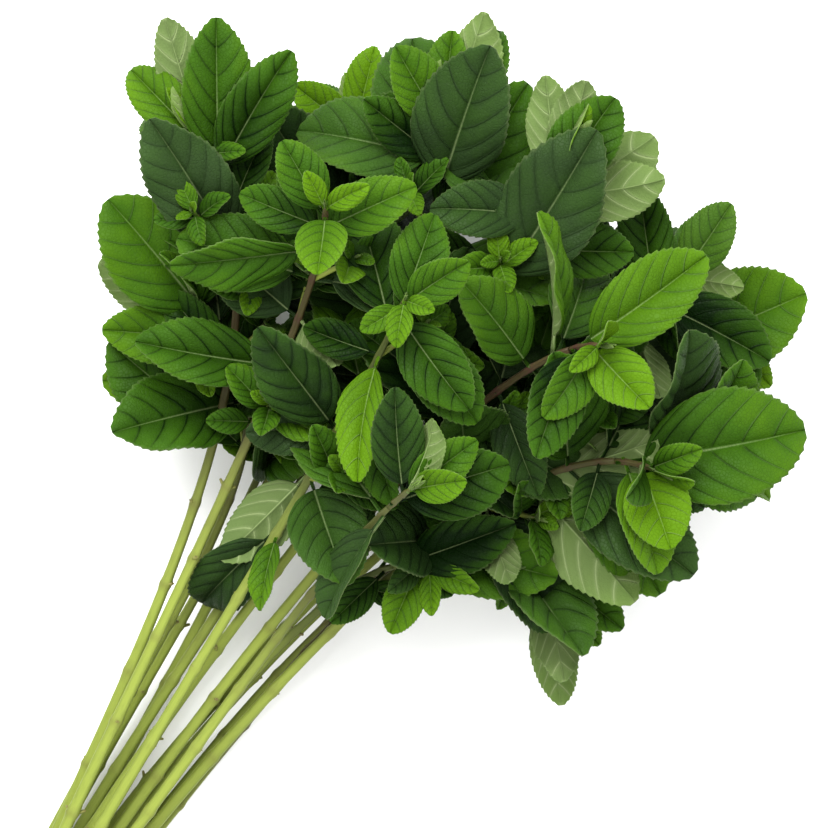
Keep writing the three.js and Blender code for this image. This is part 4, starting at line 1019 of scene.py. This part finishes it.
def leaf_surface(leaf, blade, look):
    """The place of each vertex of a blade, in millimetres."""
    number, pair, half = leaf.seed
    wild = [chance(number, pair, half, draw) * 2 - 1 for draw in WILD_DRAWS]
    size = leaf.length / LEAF_LENGTH
    across, row = blade.across, blade.row
    beside = np.abs(across)
    high = np.maximum(row - LOW_VEINS, 0) / (1 - LOW_VEINS)
    origin = VEIN_START * row + (1 - VEIN_START) * high ** VEIN_CURVE
    edge = row ** VEIN_REACH
    inner = origin + (edge - origin) * (0.5 * beside + 0.5 * beside ** 2)
    share = STALK_SHARE + (1 - STALK_SHARE) * inner - STALK_STEP * blade.stalk
    margin = beside ** 8
    share = share + TOOTH_LEAN * blade.toothtip * margin
    rise = np.sin(math.pi * row)
    outline = np.sin(math.pi * edge ** OUTLINE_SKEW) ** OUTLINE_FULLNESS
    narrow = np.maximum(STALK_RADIUS * (1 - STALK_TAPER * edge), TIP_HALF_WIDTH)
    half_width = np.where(blade.stalk > 0, STALK_RADIUS, np.maximum(leaf.width / 2 * outline, narrow))
    tooth = (blade.tooth - TOOTH_MIDDLE) * look.teeth / MM * size * rise ** 0.6 * margin
    out = across * (half_width + tooth)

    between = 1 - np.abs(2 * ((row * VEINS) % 1) - 1) ** QUILT_SQUARENESS
    quilt = look.quilting / MM * between * (1 - bell(across, MIDRIB_REACH)) * (1 - beside ** 6)
    groove = look.groove / MM * bell(across, GROOVE_REACH) * (1 - GROOVE_FADE * row)
    arch = (ARCH + ARCH_SPREAD * wild[0]) * (1 - (2 * beside - 1) ** 2)
    count = WAVES + WAVES_SPREAD * wild[1]
    waves = 2 * math.pi * (count * inner + wild[2] + WAVE_OFFSET * np.sign(across))
    ripple = look.ripple / MM * (1 + RIPPLE_SPREAD * wild[3]) * np.sin(waves) * across ** 2
    relief = size * ((quilt + arch + ripple) * rise ** 0.5 - groove)

    place, upright = leaf.spine(share)
    twist = (math.radians(TWIST) * wild[4] * share)[:, None]
    side = leaf.side * np.cos(twist) + upright * np.sin(twist)
    upright = upright * np.cos(twist) - leaf.side * np.sin(twist)
    place = place + side * (out * math.cos(leaf.fold))[:, None]
    place = place + upright * (np.abs(out) * math.sin(leaf.fold) + relief)[:, None]
    sway = leaf.length * SWAY * wild[5] * np.maximum(share, 0) ** 2
    place = place + leaf.side * sway[:, None]
    height, slope = press(place[:, 2])
    place[:, 2] = height
    upright[:, :2] *= slope[:, None]
    upright /= np.linalg.norm(upright, axis=1, keepdims=True)

    fleshy = np.clip((FLESHY_END - share) / FLESHY_FADE, 0, 1)
    stalk = STALK_RADIUS * np.sqrt(np.maximum(1 - across ** 2, 0.1)) * max(size, 0.5)
    thin = look.thickness / MM / 2
    rib = RIB_DEPTH * size * bell(across, RIB_REACH) * (1 - RIB_FADE * row)
    vein = rib + SIDE_RIB_DEPTH * size * (1 - between)
    half_thickness = thin + (stalk - thin) * fleshy
    below = -half_thickness - vein * (1 - fleshy)
    place = place + upright * np.where(blade.top, half_thickness, below)[:, None]
    place[:, 2] = np.maximum(place[:, 2], LEAST_HEIGHT)
    return place


def bent_leaf(leaf, blade, look):
    """A copy of a blade in the leaf's place and shape."""
    piece = copy_of(blade.piece)
    reshape(piece, placed(leaf_surface(leaf, blade, look)))
    note(piece, "fresh", leaf.fresh)
    note(piece, "cool", leaf.cool)
    return piece


# Across a leaf: shares of half the gap between side veins
SIDE_VEIN, SIDE_VEIN_CORE, SIDE_VEIN_SHADE = 0.13, 0.06, 0.5
# and shares of half its width
MIDDLE_VEIN, MARGIN_START, MARGIN_FADE = 0.035, 0.955, 0.04
CLOUD_SCALE, BLOTCH_SCALE, GRAIN_SCALE, CELL_SCALE = 30.0, 110.0, 420.0, 780.0
CELL_EDGE = 0.12
GROWN_SHADE = 0.42  # place of the grown colour between the oldest and the youngest
LEAF_BUMP = 0.0006


@functools.cache
def leaf_look():
    """Green above with sunk veins, pale below with raised ones, brighter where it is fresh.

    Painted shade darkens the sunk side veins, and some old leaves carry a blue-green painted sheen.
    """
    colors = bpy.context.scene.mint_leaf
    look = Look("mint_leaf")
    place = look.value("ShaderNodeTexCoord", output="Object")
    uv = look.value("ShaderNodeUVMap")
    split = look.node("ShaderNodeSeparateXYZ", None, {"Vector": uv})
    across = (Value(look, split.outputs[0]) * 2 - 1).math("ABSOLUTE")
    row = Value(look, split.outputs[1])
    under = look.attribute("underside")
    fresh = look.attribute("fresh")
    cool = look.attribute("cool")

    vein = (row * VEINS).math("PINGPONG", 0.5) * 2  # 0 on a side vein, 1 half way between two
    line = 1 - (vein / SIDE_VEIN).smooth()
    thread = 1 - (vein / SIDE_VEIN_CORE).smooth()
    soft = 1 - (vein / SIDE_VEIN_SHADE).smooth()
    fade = (across / 0.12).smooth() * (1 - (across - 0.8).clamped() * 3)
    middle = 1 - (across / MIDDLE_VEIN).smooth()
    middle = middle * (1.05 - row * 0.8).clamped()
    margin = ((across - MARGIN_START) / MARGIN_FADE).smooth()

    cloud = look.noise(place, CLOUD_SCALE, 2.0)
    blotch = look.noise(place, BLOTCH_SCALE, 3.0)
    grain = look.noise(place, GRAIN_SCALE, 3.0)
    cells = look.value(
        "ShaderNodeTexVoronoi", {"feature": "DISTANCE_TO_EDGE"},
        {"Vector": place, "Scale": CELL_SCALE}, "Distance",
    )
    net = 1 - (cells / CELL_EDGE).smooth()

    outer = (across * across * 0.2 + row * 0.2 - 0.15) * (1 - cool * 0.6)
    shade = fresh + outer + (cloud - 0.5) * 0.6 + (blotch - 0.5) * 0.25 + (grain - 0.5) * 0.08
    # Painted shade: the sunk side-vein grooves (line) and the wider valleys beside them (soft) are
    # darkened in the colour
    shade = shade - line * fade * 0.16 - soft * fade * 0.08
    tones = ((0, colors.mature), (GROWN_SHADE, colors.grown), (1, colors.young))
    upper = look.ramp(shade.clamped(), tones)
    # Painted sheen: a blue-green tint mixed into the upper face stands in for the soft reflection on some
    # old leaves
    upper = look.mix(upper, tuple(colors.cool), cool * 0.6)
    upper = look.mix(upper, tuple(colors.vein), middle * 0.55)
    thread = thread * fade * (shade * 0.5 - 0.05).clamped()
    upper = look.mix(upper, tuple(colors.vein), thread)
    upper = look.mix(upper, tuple(colors.vein), margin * 0.1)
    ribs = ((soft * 0.25 + line * 0.6) * fade + middle * 0.9).clamped()
    lower = look.mix(tuple(colors.underside), upper, 0.3 + (cloud - 0.5) * 0.5)
    lower = look.mix(lower, tuple(colors.vein), ribs)
    color = look.mix(upper, lower, under)

    height = line * fade * -0.5 + (1 - vein) * fade * -0.3 + net * -0.22 + grain * 0.25
    height = height * (1 - under * 1.6)
    normal = look.bump(height, LEAF_BUMP, 0.9)
    roughness = 0.4 + grain * 0.12 + under * 0.25 - cool * 0.06
    look.set(Base_Color=color, Roughness=roughness, Normal=normal)
    look.set(Specular_IOR_Level=0.045)
    return look.material


@functools.cache
def blades():
    """The flat leaves: grown, young, and in the bud."""
    grown = flat_blade("grown_blade", COLUMNS_GROWN, 6, 3)
    young = flat_blade("young_blade", COLUMNS_YOUNG, 3, 3)
    bud = flat_blade("bud_blade", COLUMNS_BUD, 2, 2)
    for blade in (grown, young, bud):
        blade.piece.data.materials.append(leaf_look())
    return grown, young, bud


def leaf_piece(leaves, blade, name):
    look = bpy.context.scene.mint_leaf
    return join([bent_leaf(leaf, blade, look) for leaf in leaves], name)


# ---- Stems ----

STEM_SIDES = 24
NODE_REACH = 1.8  # length of a node's swelling, each way
NODE_STEPS = (-2.6, -1.5, -0.7, 0, 0.7, 1.5, 2.6)  # rings at a node
RING_STEP = 3.5  # between other rings
RING_GAP = 0.5  # between any two
SQUARENESS = 3.6
RIB_WAVE = 0.07  # depth of the hollows in a stem's faces
GROWTH_STRETCH, GROWTH_SHIFT, GROWTH_WAVE = 23, 2.1, 0.03  # slow swelling along a stem
TIP_ROUNDING = 1.5  # length of a shoot's rounded end
CUT_INSETS = (0.12, 0.2, 0.3)  # rings on the cut end
CUT_HOLLOW = 0.25  # depth of the cut end's middle
END_REACH = 0.01  # within this a ring belongs to the end
GRAIN_STRETCH, GRAIN_SHIFT, GRAIN_WIDTH = 14, 5, 1.2  # of the streaks
TIP_START = 4  # the tip's stem starts this far below its oldest pair
TIP_LAP = 0.4  # and reaches so much further into the stem
BARE_FOOT = 12  # length of stem without nodes at the cut end
BROWN_STEMS = {5: 0.6, 7: 1}  # how brown these are, by sprig
STUB_SHARE = 0.6  # of the stripped leaves that leave a stub
STUB_SIDES = 10
STUB_RIM, STUB_HOLLOW = 0.35, 0.12  # of its cut end, before it is shaped
STUB_END, STUB_FOOT = 0.62, 1.05  # half widths of both its ends
STUB_BREADTH, STUB_DEPTH = 1.25, 0.8  # across the stem and along it
STUB_SEAT = 0.72  # where it begins, as a share of the stem's radius


@functools.cache
def stem_look():
    """Pale green at the foot, olive to maroon in the crown, with streaks along it."""
    colors = bpy.context.scene.mint_stem
    look = Look("mint_stem")
    place = look.value("ShaderNodeTexCoord", output="Object")
    along = look.attribute("along")
    corner = look.attribute("corner")
    node = look.attribute("node")
    sun = look.attribute("sun")
    cut = look.attribute("cut")
    pith = look.attribute("pith")
    brown = look.attribute("brown")
    grain = look.attribute("grain", "Vector")
    streak = look.noise(grain, 3.0, 3.0)
    blotch = look.noise(place, 40.0, 3.0)
    fleck = look.noise(place, 700.0, 2.0)

    ripe = ((along + brown * 0.25 - 0.5) / 0.35 + (blotch - 0.5) * 0.6).smooth()
    red = sun * (ripe * 0.8 + node * 0.3) + (streak - 0.6) * ripe * 0.5 + brown * ripe * 0.3
    worn = cut * 0.85 + ((fleck - 0.68) * 6).clamped() * 0.35
    color = look.mix(tuple(colors.pale), tuple(colors.olive), ripe)
    color = look.mix(color, tuple(colors.olive), (corner * 0.38 + (streak - 0.5) * 0.6).clamped())
    color = look.mix(color, tuple(colors.maroon), red.clamped())
    color = look.mix(color, tuple(colors.scar), worn.clamped())
    color = look.mix(color, tuple(colors.pith), pith)
    normal = look.bump(streak * 0.6 + fleck * 0.3, 0.00025, 0.7)
    look.set(Base_Color=color, Roughness=0.45 + fleck * 0.15, Normal=normal)
    look.set(Specular_IOR_Level=0.2)
    return look.material


def section(angle):
    """Distance from a stem's middle to its ribbed, rounded square skin, in radii."""
    c, s = np.abs(np.cos(angle)), np.abs(np.sin(angle))
    square = (c ** SQUARENESS + s ** SQUARENESS) ** (-1 / SQUARENESS)
    return square * (1 - RIB_WAVE * np.cos(2 * angle) ** 4)


def stations(line, start, end, nodes):
    """Distances of a stem's rings, closer together at its nodes."""
    inside = np.linspace(start, end, max(int((end - start) / RING_STEP), 2))[1:-1]
    close = [node + step for node in nodes for step in NODE_STEPS]
    close = [place for place in close if start + RING_GAP < place < end - RING_GAP]
    far = [place for place in inside if all(abs(place - other) > RING_GAP for other in close)]
    return np.array(sorted([start, *far, *close, end]))


def rise_of(piece, edge):
    low, high = (piece.data.vertices[corner].co.z for corner in edge.vertices)
    return abs(high - low)


def stem_piece(name, line, start, end, nodes, number, look):
    """A square stem along its line, from a cylinder with a ring for each station."""
    places = stations(line, start, end, nodes)
    shape = {"vertices": STEM_SIDES, "radius": 1, "depth": 2, "end_fill_type": "NGON"}
    piece = add_primitive("cylinder", name, **shape)
    select(piece, "FACE", lambda face: abs(face.normal.z) > 0.9)
    for inset in CUT_INSETS:
        bpy.ops.mesh.inset(thickness=inset)
    select(piece, "EDGE", lambda edge: rise_of(piece, edge) > 1)
    bpy.ops.mesh.subdivide(number_cuts=len(places) - 2)
    bpy.ops.object.mode_set(mode="OBJECT")
    bpy.ops.object.shade_smooth()

    x, y, z = coordinates(piece).T
    share = np.clip((z + 1) / 2, 0, 1)
    distance = places[np.rint(share * (len(places) - 1)).astype(int)]
    angle = np.arctan2(y, x)
    depth = np.hypot(x, y)
    swell = np.zeros(len(distance))
    for node in nodes:
        swell += bell(distance - node, NODE_REACH)
    growth = np.sin(distance / GROWTH_STRETCH + number * GROWTH_SHIFT) * GROWTH_WAVE
    radius = line.radius(distance) * (1 + look.swelling * swell + growth)
    blunt = np.clip((line.length - distance) / TIP_ROUNDING, 0.15, 1) ** 0.5
    skin = section(angle) * radius * depth * blunt
    along, side, across = line.axes(distance)
    middle = line.at(distance)
    at_start = distance < start + END_REACH
    hollow = CUT_HOLLOW * (1 - depth) * at_start
    points = middle + side * (np.cos(angle) * skin)[:, None]
    points = points + across * (np.sin(angle) * skin)[:, None]
    points = points + along * hollow[:, None]
    reshape(piece, placed(points))
    note(piece, "along", distance / line.length)
    note(piece, "corner", np.sin(2 * angle) ** 4)
    note(piece, "node", np.clip(swell, 0, 1))
    note(piece, "sun", 0.2 + 0.8 * chance(number, SUN_DRAW) ** 1.5)
    end_face = at_start & (depth < 0.99) & (start == 0)
    note(piece, "cut", np.where(end_face & (depth > 0.8), 0.5, 0))
    note(piece, "brown", BROWN_STEMS.get(number, 0))
    note(piece, "pith", np.where(end_face, np.clip((0.9 - depth) / 0.3, 0, 1), 0))
    around = [np.cos(angle) * GRAIN_WIDTH, np.sin(angle) * GRAIN_WIDTH]
    grain = np.stack([*around, distance / GRAIN_STRETCH + number * GRAIN_SHIFT], 1)
    attribute = piece.data.attributes.new("grain", "FLOAT_VECTOR", "POINT")
    attribute.data.foreach_set("vector", grain.astype(np.float32).ravel())
    piece.data.materials.append(stem_look())
    return piece


def stub_piece(line, distance, spin, number, pair, half, look):
    """What is left of a stripped leaf: a short cut stalk at its node."""
    along, side, across = line.axes(distance)
    out = side * math.cos(spin) + across * math.sin(spin)
    radius = line.radius(distance)
    size = chance(number, pair, half, STUB_SIZE_DRAW)
    reach = look.stub / MM * (0.25 + 0.75 * size ** 2)
    piece = add_primitive("cylinder", "stub", vertices=STUB_SIDES, radius=1, depth=1)
    select(piece, "FACE", lambda face: face.normal.z > 0.9)
    bpy.ops.mesh.inset(thickness=STUB_RIM)
    bpy.ops.mesh.extrude_region_move(TRANSFORM_OT_translate={"value": (0, 0, -STUB_HOLLOW)})
    bpy.ops.object.mode_set(mode="OBJECT")
    bpy.ops.object.shade_smooth()
    x, y, z = coordinates(piece).T
    upper = z > 0
    wide = np.where(upper, STUB_END, STUB_FOOT) * (0.7 + 0.25 * size)
    aim = unit(out + along * (0.5 + 0.4 * size))
    flat = unit(np.cross(aim, along))
    thick = np.cross(flat, aim)
    base = line.at(distance) + out * radius * STUB_SEAT
    lift = (z + 0.5) * (reach + radius * 0.3)
    points = base + aim * lift[:, None]
    points = points + flat * (x * wide * STUB_BREADTH)[:, None]
    points = points + thick * (y * wide * STUB_DEPTH)[:, None]
    reshape(piece, placed(points))
    note(piece, "along", distance / line.length)
    note(piece, "node", 1.0)
    note(piece, "sun", 0.4)
    healed = 0.55 + 0.45 * chance(number, pair, half, STUB_CUT_DRAW)
    note(piece, "cut", np.where(upper, healed, 0.1))
    piece.data.materials.append(stem_look())
    return piece


# ---- Operators ----

def numbered(number):
    """The first part of a sprig's names."""
    return f"sprig_{number + 1:02d}"


class MINT_OT_stems(bpy.types.Operator):
    """Builds the sixteen stems, with their nodes and the stubs of stripped leaves."""
    bl_idname = "mint.stems"
    bl_label = "Stems"

    def execute(self, context):
        look = context.scene.mint_stem
        for stalk, row, _, _ in planted():
            line, number = stalk.line, stalk.number
            start = line.length - pair_distance(row.size, TIP_PAIRS - 1) - TIP_START
            pairs = []
            pair = TIP_PAIRS
            while pair_distance(row.size, pair) < line.length - BARE_FOOT:
                pairs.append(pair)
                pair += 1
            nodes = [line.length - pair_distance(row.size, pair) for pair in pairs]
            parts = [stem_piece("stem", line, 0, start, nodes, number, look)]
            for pair, node in zip(pairs, nodes):
                if pair < row.total:
                    continue
                spin = math.radians(row.roll + 90 * pair)
                parts += [
                    stub_piece(line, node, spin + math.pi * half, number, pair, half, look)
                    for half in (0, 1)
                    if chance(number, pair, half, STUB_DRAW) < STUB_SHARE
                ]
            piece = join(parts, f"{numbered(number)}_cut_stem")
            finish_piece(piece, "stem", f"{numbered(number)}_stem")
        return {"FINISHED"}


BUD_STEPS = ((1, 0.5), (2, 0.27))  # quarter turns from the youngest pair, and length beside it
BUD_LEAN, BUD_CURL, BUD_FOLD = 16, -25, 48  # degrees
BUD_SLIMNESS = 0.42
BUD_SINK, BUD_OUT = 0.5, 0.2


def bud_leaves(stalk):
    """The smallest leaves, still folded together at the tip."""
    leaves = []
    first = [make_leaf(stalk, 0, half, Nudge(0, 0, 0)) for half in (0, 1)]
    for step, share in BUD_STEPS:
        for half, leaf in enumerate(first):
            stem, side, across = stalk.line.axes(stalk.line.length)
            spin = math.radians(stalk.roll + 90 * step + 180 * half)
            out = side * math.cos(spin) + across * math.sin(spin)
            lean = math.radians(BUD_LEAN)
            along = stem * math.cos(lean) + out * math.sin(lean)
            facing = stem * math.sin(lean) - out * math.cos(lean)
            base = stalk.line.at(stalk.line.length - BUD_SINK) + out * BUD_OUT
            length = leaf.length * share
            curl, fold = math.radians(BUD_CURL), math.radians(BUD_FOLD)
            bud = Leaf(base, along, facing, length, length * BUD_SLIMNESS, curl, fold)
            bud.seed = (stalk.number, 20 + step, half)
            bud.fresh = 0.9
            bud.cool = 0
            leaves.append(bud)
    return leaves


class MINT_OT_tips(bpy.types.Operator):
    """Builds each sprig's tip: its last stretch of stem, its bud and its youngest leaves."""
    bl_idname = "mint.tips"
    bl_label = "Tips"

    def execute(self, context):
        grown, young, bud = blades()
        look, settings = context.scene.mint_leaf, context.scene.mint_stem
        for stalk, row, leaves, _ in planted():
            line, number = stalk.line, stalk.number
            start = line.length - pair_distance(row.size, TIP_PAIRS - 1) - (TIP_START + TIP_LAP)
            nodes = [line.length - pair_distance(row.size, pair) for pair in range(1, TIP_PAIRS)]
            stem = stem_piece("tip_stem", line, start, line.length, nodes, number, settings)
            tiny = [bent_leaf(leaf, bud, look) for leaf in bud_leaves(stalk)]
            first = [leaf for pair in range(TIP_PAIRS) for leaf in leaves[pair]]
            parts = [
                bent_leaf(leaf, grown if leaf.length > LONG_LEAF else young, look) for leaf in first
            ]
            piece = join([*parts, *tiny, stem], f"{numbered(number)}_young_tip")
            finish_piece(piece, "young_leaf", f"{numbered(number)}_tip")
        return {"FINISHED"}


class MINT_OT_grown_leaves(bpy.types.Operator):
    """Builds the grown leaf pairs just below each tip."""
    bl_idname = "mint.grown_leaves"
    bl_label = "Grown leaves"

    def execute(self, context):
        grown = blades()[0]
        for stalk, row, leaves, _ in planted():
            for count, letter in zip(range(row.pairs), "ab"):
                name = f"{numbered(stalk.number)}_leaves_{letter}"
                pair = leaves[TIP_PAIRS + count]
                piece = leaf_piece(pair, grown, name.replace("leaves", "leaf_pair"))
                finish_piece(piece, "grown_leaf", name)
        return {"FINISHED"}


class MINT_OT_lower_leaves(bpy.types.Operator):
    """Builds the older leaves, lower down in the crown."""
    bl_idname = "mint.lower_leaves"
    bl_label = "Lower leaves"

    def execute(self, context):
        grown = blades()[0]
        for stalk, row, leaves, _ in planted():
            older = [leaf for pair in range(stalk.framed, row.total) for leaf in leaves[pair]]
            if not older:
                continue
            piece = leaf_piece(older, grown, f"{numbered(stalk.number)}_lower_leaves")
            finish_piece(piece, "grown_leaf")
        return {"FINISHED"}


class MINT_OT_shoots(bpy.types.Operator):
    """Builds the side shoots in the leaf axils."""
    bl_idname = "mint.shoots"
    bl_label = "Side shoots"

    def execute(self, context):
        young, bud = blades()[1:]
        look, settings = context.scene.mint_leaf, context.scene.mint_stem
        for stalk, _, _, shoots in planted():
            parts = []
            for shoot, small in shoots:
                line, number = shoot.line, shoot.number
                parts += [
                    bent_leaf(leaf, young if leaf.length > BUD_LEAF else bud, look) for leaf in small
                ]
                parts += [bent_leaf(leaf, bud, look) for leaf in bud_leaves(shoot)]
                parts.append(stem_piece("shoot", line, END_REACH, line.length, [], number, settings))
            if parts:
                piece = join(parts, f"{numbered(stalk.number)}_side_shoots")
                finish_piece(piece, "young_leaf")
        return {"FINISHED"}


# ---- Band ----

CORNER_STEPS = 12
BAND_RINGS = {"major_segments": 288, "minor_segments": 12}
BAND_TURNS = 2
STRAND_GAP = 0.85  # how far each turn lies to its side of the middle
STRAND_WAVE = 0.12
CROSSING_RISE, CROSSING_REACH = 0.42, 0.75  # where the turns cross
DARK_RUBBER = (0.24, 0.12, 0.035)
RUBBER_BLOTCHES, RUBBER_GRAIN, RUBBER_BUMP = 180.0, 1500.0, 0.0002


def band_corners():
    """For each corner stem: its column and layer, and the angles between which the band lies on it."""
    top = len(LAYER_WIDTHS) - 1
    lean = math.atan2(COLUMN_PITCH / 2, LAYER_PITCH)
    return (
        (-LAYER_WIDTHS[0], 0, lean - math.pi, -math.pi / 2),
        (LAYER_WIDTHS[0], 0, -math.pi / 2, -lean),
        (LAYER_WIDTHS[1], 1, -lean, lean),
        (LAYER_WIDTHS[top], top, lean, math.pi / 2),
        (-LAYER_WIDTHS[top], top, math.pi / 2, math.pi - lean),
        (-LAYER_WIDTHS[1], 1, math.pi - lean, math.pi + lean),
    )


def band_path(share, radius):
    """Points and outward directions round the stems, for shares of one turn."""
    points, outward = [], []
    for column, layer, start, end in band_corners():
        for angle in np.linspace(start, end, CORNER_STEPS):
            way = np.array([math.cos(angle), math.sin(angle)])
            points.append(np.array([column * COLUMN_PITCH, layer * LAYER_PITCH]) + way * radius)
            outward.append(way)
    points, outward = np.array([*points, points[0]]), np.array([*outward, outward[0]])
    reach = np.concatenate([[0], np.cumsum(np.linalg.norm(np.diff(points, axis=0), axis=1))])
    turn = (share % 1) * reach[-1]
    place = np.stack([np.interp(turn, reach, points[:, axis]) for axis in (0, 1)], 1)
    way = np.stack([np.interp(turn, reach, outward[:, axis]) for axis in (0, 1)], 1)
    return place, way / np.linalg.norm(way, axis=1, keepdims=True)


class MINT_OT_band(bpy.types.Operator):
    """Builds the rubber band, wound twice round the stems and closed on itself."""
    bl_idname = "mint.band"
    bl_label = "Rubber band"

    def execute(self, context):
        settings = context.scene.mint_band
        piece = add_primitive("torus", "rubber_band", major_radius=1, minor_radius=0.25, **BAND_RINGS)
        bpy.ops.object.shade_smooth()
        x, y, z = coordinates(piece).T
        turn = np.arctan2(y, x) / (2 * math.pi) % 1 * BAND_TURNS
        around = np.arctan2(z, np.hypot(x, y) - 1)
        radius = STEM_RADIUS * CORNER_REACH + BAND_EASE + BAND_THICKNESS / 2
        middle, way = band_path(turn, radius)
        soft = (np.abs(np.cos(around)) ** 4 + np.abs(np.sin(around)) ** 4) ** -0.25
        height = np.cos(around) * soft * settings.thickness / MM / 2
        width = np.sin(around) * soft * settings.width / MM / 2
        strand = STRAND_GAP * np.cos(math.pi * turn) + STRAND_WAVE * np.sin(5 * math.pi * turn)
        crossing = bell(np.cos(math.pi * turn), CROSSING_REACH)
        stack = CROSSING_RISE * np.sin(math.pi * turn) * crossing
        out = (height + stack)[:, None] * way
        points = np.stack([
            BAND_X + middle[:, 0] + out[:, 0],
            BAND_Y + strand + width,
            STEM_RADIUS + LIFT + middle[:, 1] + out[:, 1],
        ], 1)
        reshape(piece, placed(points))
        piece.data.materials.append(self.look(settings))
        finish_piece(piece, "band", "band")
        return {"FINISHED"}

    def look(self, settings):
        look = Look("rubber")
        place = look.value("ShaderNodeTexCoord", output="Object")
        blotch = look.noise(place, RUBBER_BLOTCHES, 3.0)
        grain = look.noise(place, RUBBER_GRAIN, 2.0)
        color = look.mix(tuple(settings.rubber), DARK_RUBBER, (blotch - 0.35).clamped() * 0.9)
        normal = look.bump(grain * 0.5 + blotch * 0.5, RUBBER_BUMP, 0.6)
        look.set(Base_Color=color, Roughness=0.55 + grain * 0.2, Normal=normal)
        return look.material


LAMP_PLACE = Vector((-0.5, 0.5, 1.2))  # from the point under the camera, in metres
SENSOR_WIDTH = 36
VIEW_SIDE = 0.828 * 0.36  # side of the square in view at the crown's middle height, in metres
VIEW_HEIGHT = 0.09


class MINT_OT_stage(bpy.types.Operator):
    """Sets the floor, the light and the camera."""
    bl_idname = "mint.stage"
    bl_label = "Stage"

    def execute(self, context):
        settings = context.scene.mint_stage
        floor = add_primitive("plane", "floor", size=settings.floor_size)
        look = Look("pale_floor")
        look.set(Base_Color=tuple(settings.floor), Roughness=0.9)
        floor.data.materials.append(look.material)
        middle = Vector(placed(np.zeros(3)) * (1, 1, 0))
        self.add_sky(context, settings)
        self.add_lamp(settings, middle)
        self.add_camera(context, settings, middle)
        context.scene.view_settings.view_transform = "Standard"
        return {"FINISHED"}

    def add_sky(self, context, settings):
        world = bpy.data.worlds.new("soft_sky")
        world.use_nodes = True
        background = world.node_tree.nodes["Background"]
        background.inputs["Color"].default_value = (1, 1, 1, 1)
        background.inputs["Strength"].default_value = settings.sky
        context.scene.world = world

    def add_lamp(self, settings, middle):
        bpy.ops.object.light_add(type="AREA", location=middle + LAMP_PLACE)
        lamp = bpy.context.object
        lamp.data.energy = settings.lamp
        lamp.data.size = settings.lamp_size
        lamp.rotation_euler = LAMP_PLACE.to_track_quat("Z", "Y").to_euler()

    def add_camera(self, context, settings, middle):
        bpy.ops.object.camera_add(location=middle + Vector((0, 0, settings.camera_height)))
        camera = bpy.context.object
        camera.rotation_euler = (0, 0, math.radians(PLAN_TURN))
        camera.data.sensor_width = SENSOR_WIDTH
        distance = settings.camera_height - VIEW_HEIGHT
        camera.data.lens = SENSOR_WIDTH * distance / VIEW_SIDE
        context.scene.camera = camera


class MINT_PT_panel(bpy.types.Panel):
    """Lists the pieces of the bunch."""
    bl_label = "Mint bunch"
    bl_idname = "MINT_PT_panel"
    bl_space_type = "VIEW_3D"
    bl_region_type = "UI"
    bl_category = "Mint"

    def draw(self, context):
        for operator in OPERATORS:
            self.layout.operator(operator.bl_idname)


SETTINGS = {
    "mint_leaf": MINT_leaf_settings,
    "mint_stem": MINT_stem_settings,
    "mint_band": MINT_band_settings,
    "mint_stage": MINT_stage_settings,
}
OPERATORS = (
    MINT_OT_stage,
    MINT_OT_stems,
    MINT_OT_tips,
    MINT_OT_grown_leaves,
    MINT_OT_lower_leaves,
    MINT_OT_shoots,
    MINT_OT_band,
)


def register():
    for name, settings in SETTINGS.items():
        bpy.utils.register_class(settings)
        setattr(bpy.types.Scene, name, bpy.props.PointerProperty(type=settings))
    for operator in OPERATORS:
        bpy.utils.register_class(operator)
    bpy.utils.register_class(MINT_PT_panel)


def unregister():
    bpy.utils.unregister_class(MINT_PT_panel)
    for operator in reversed(OPERATORS):
        bpy.utils.unregister_class(operator)
    for name, settings in SETTINGS.items():
        delattr(bpy.types.Scene, name)
        bpy.utils.unregister_class(settings)


def main():
    register()
    for operator in OPERATORS:
        family, name = operator.bl_idname.split(".")
        getattr(getattr(bpy.ops, family), name)()
    for blade in blades():
        remove(blade.piece)


if __name__ == "__main__":
    main()
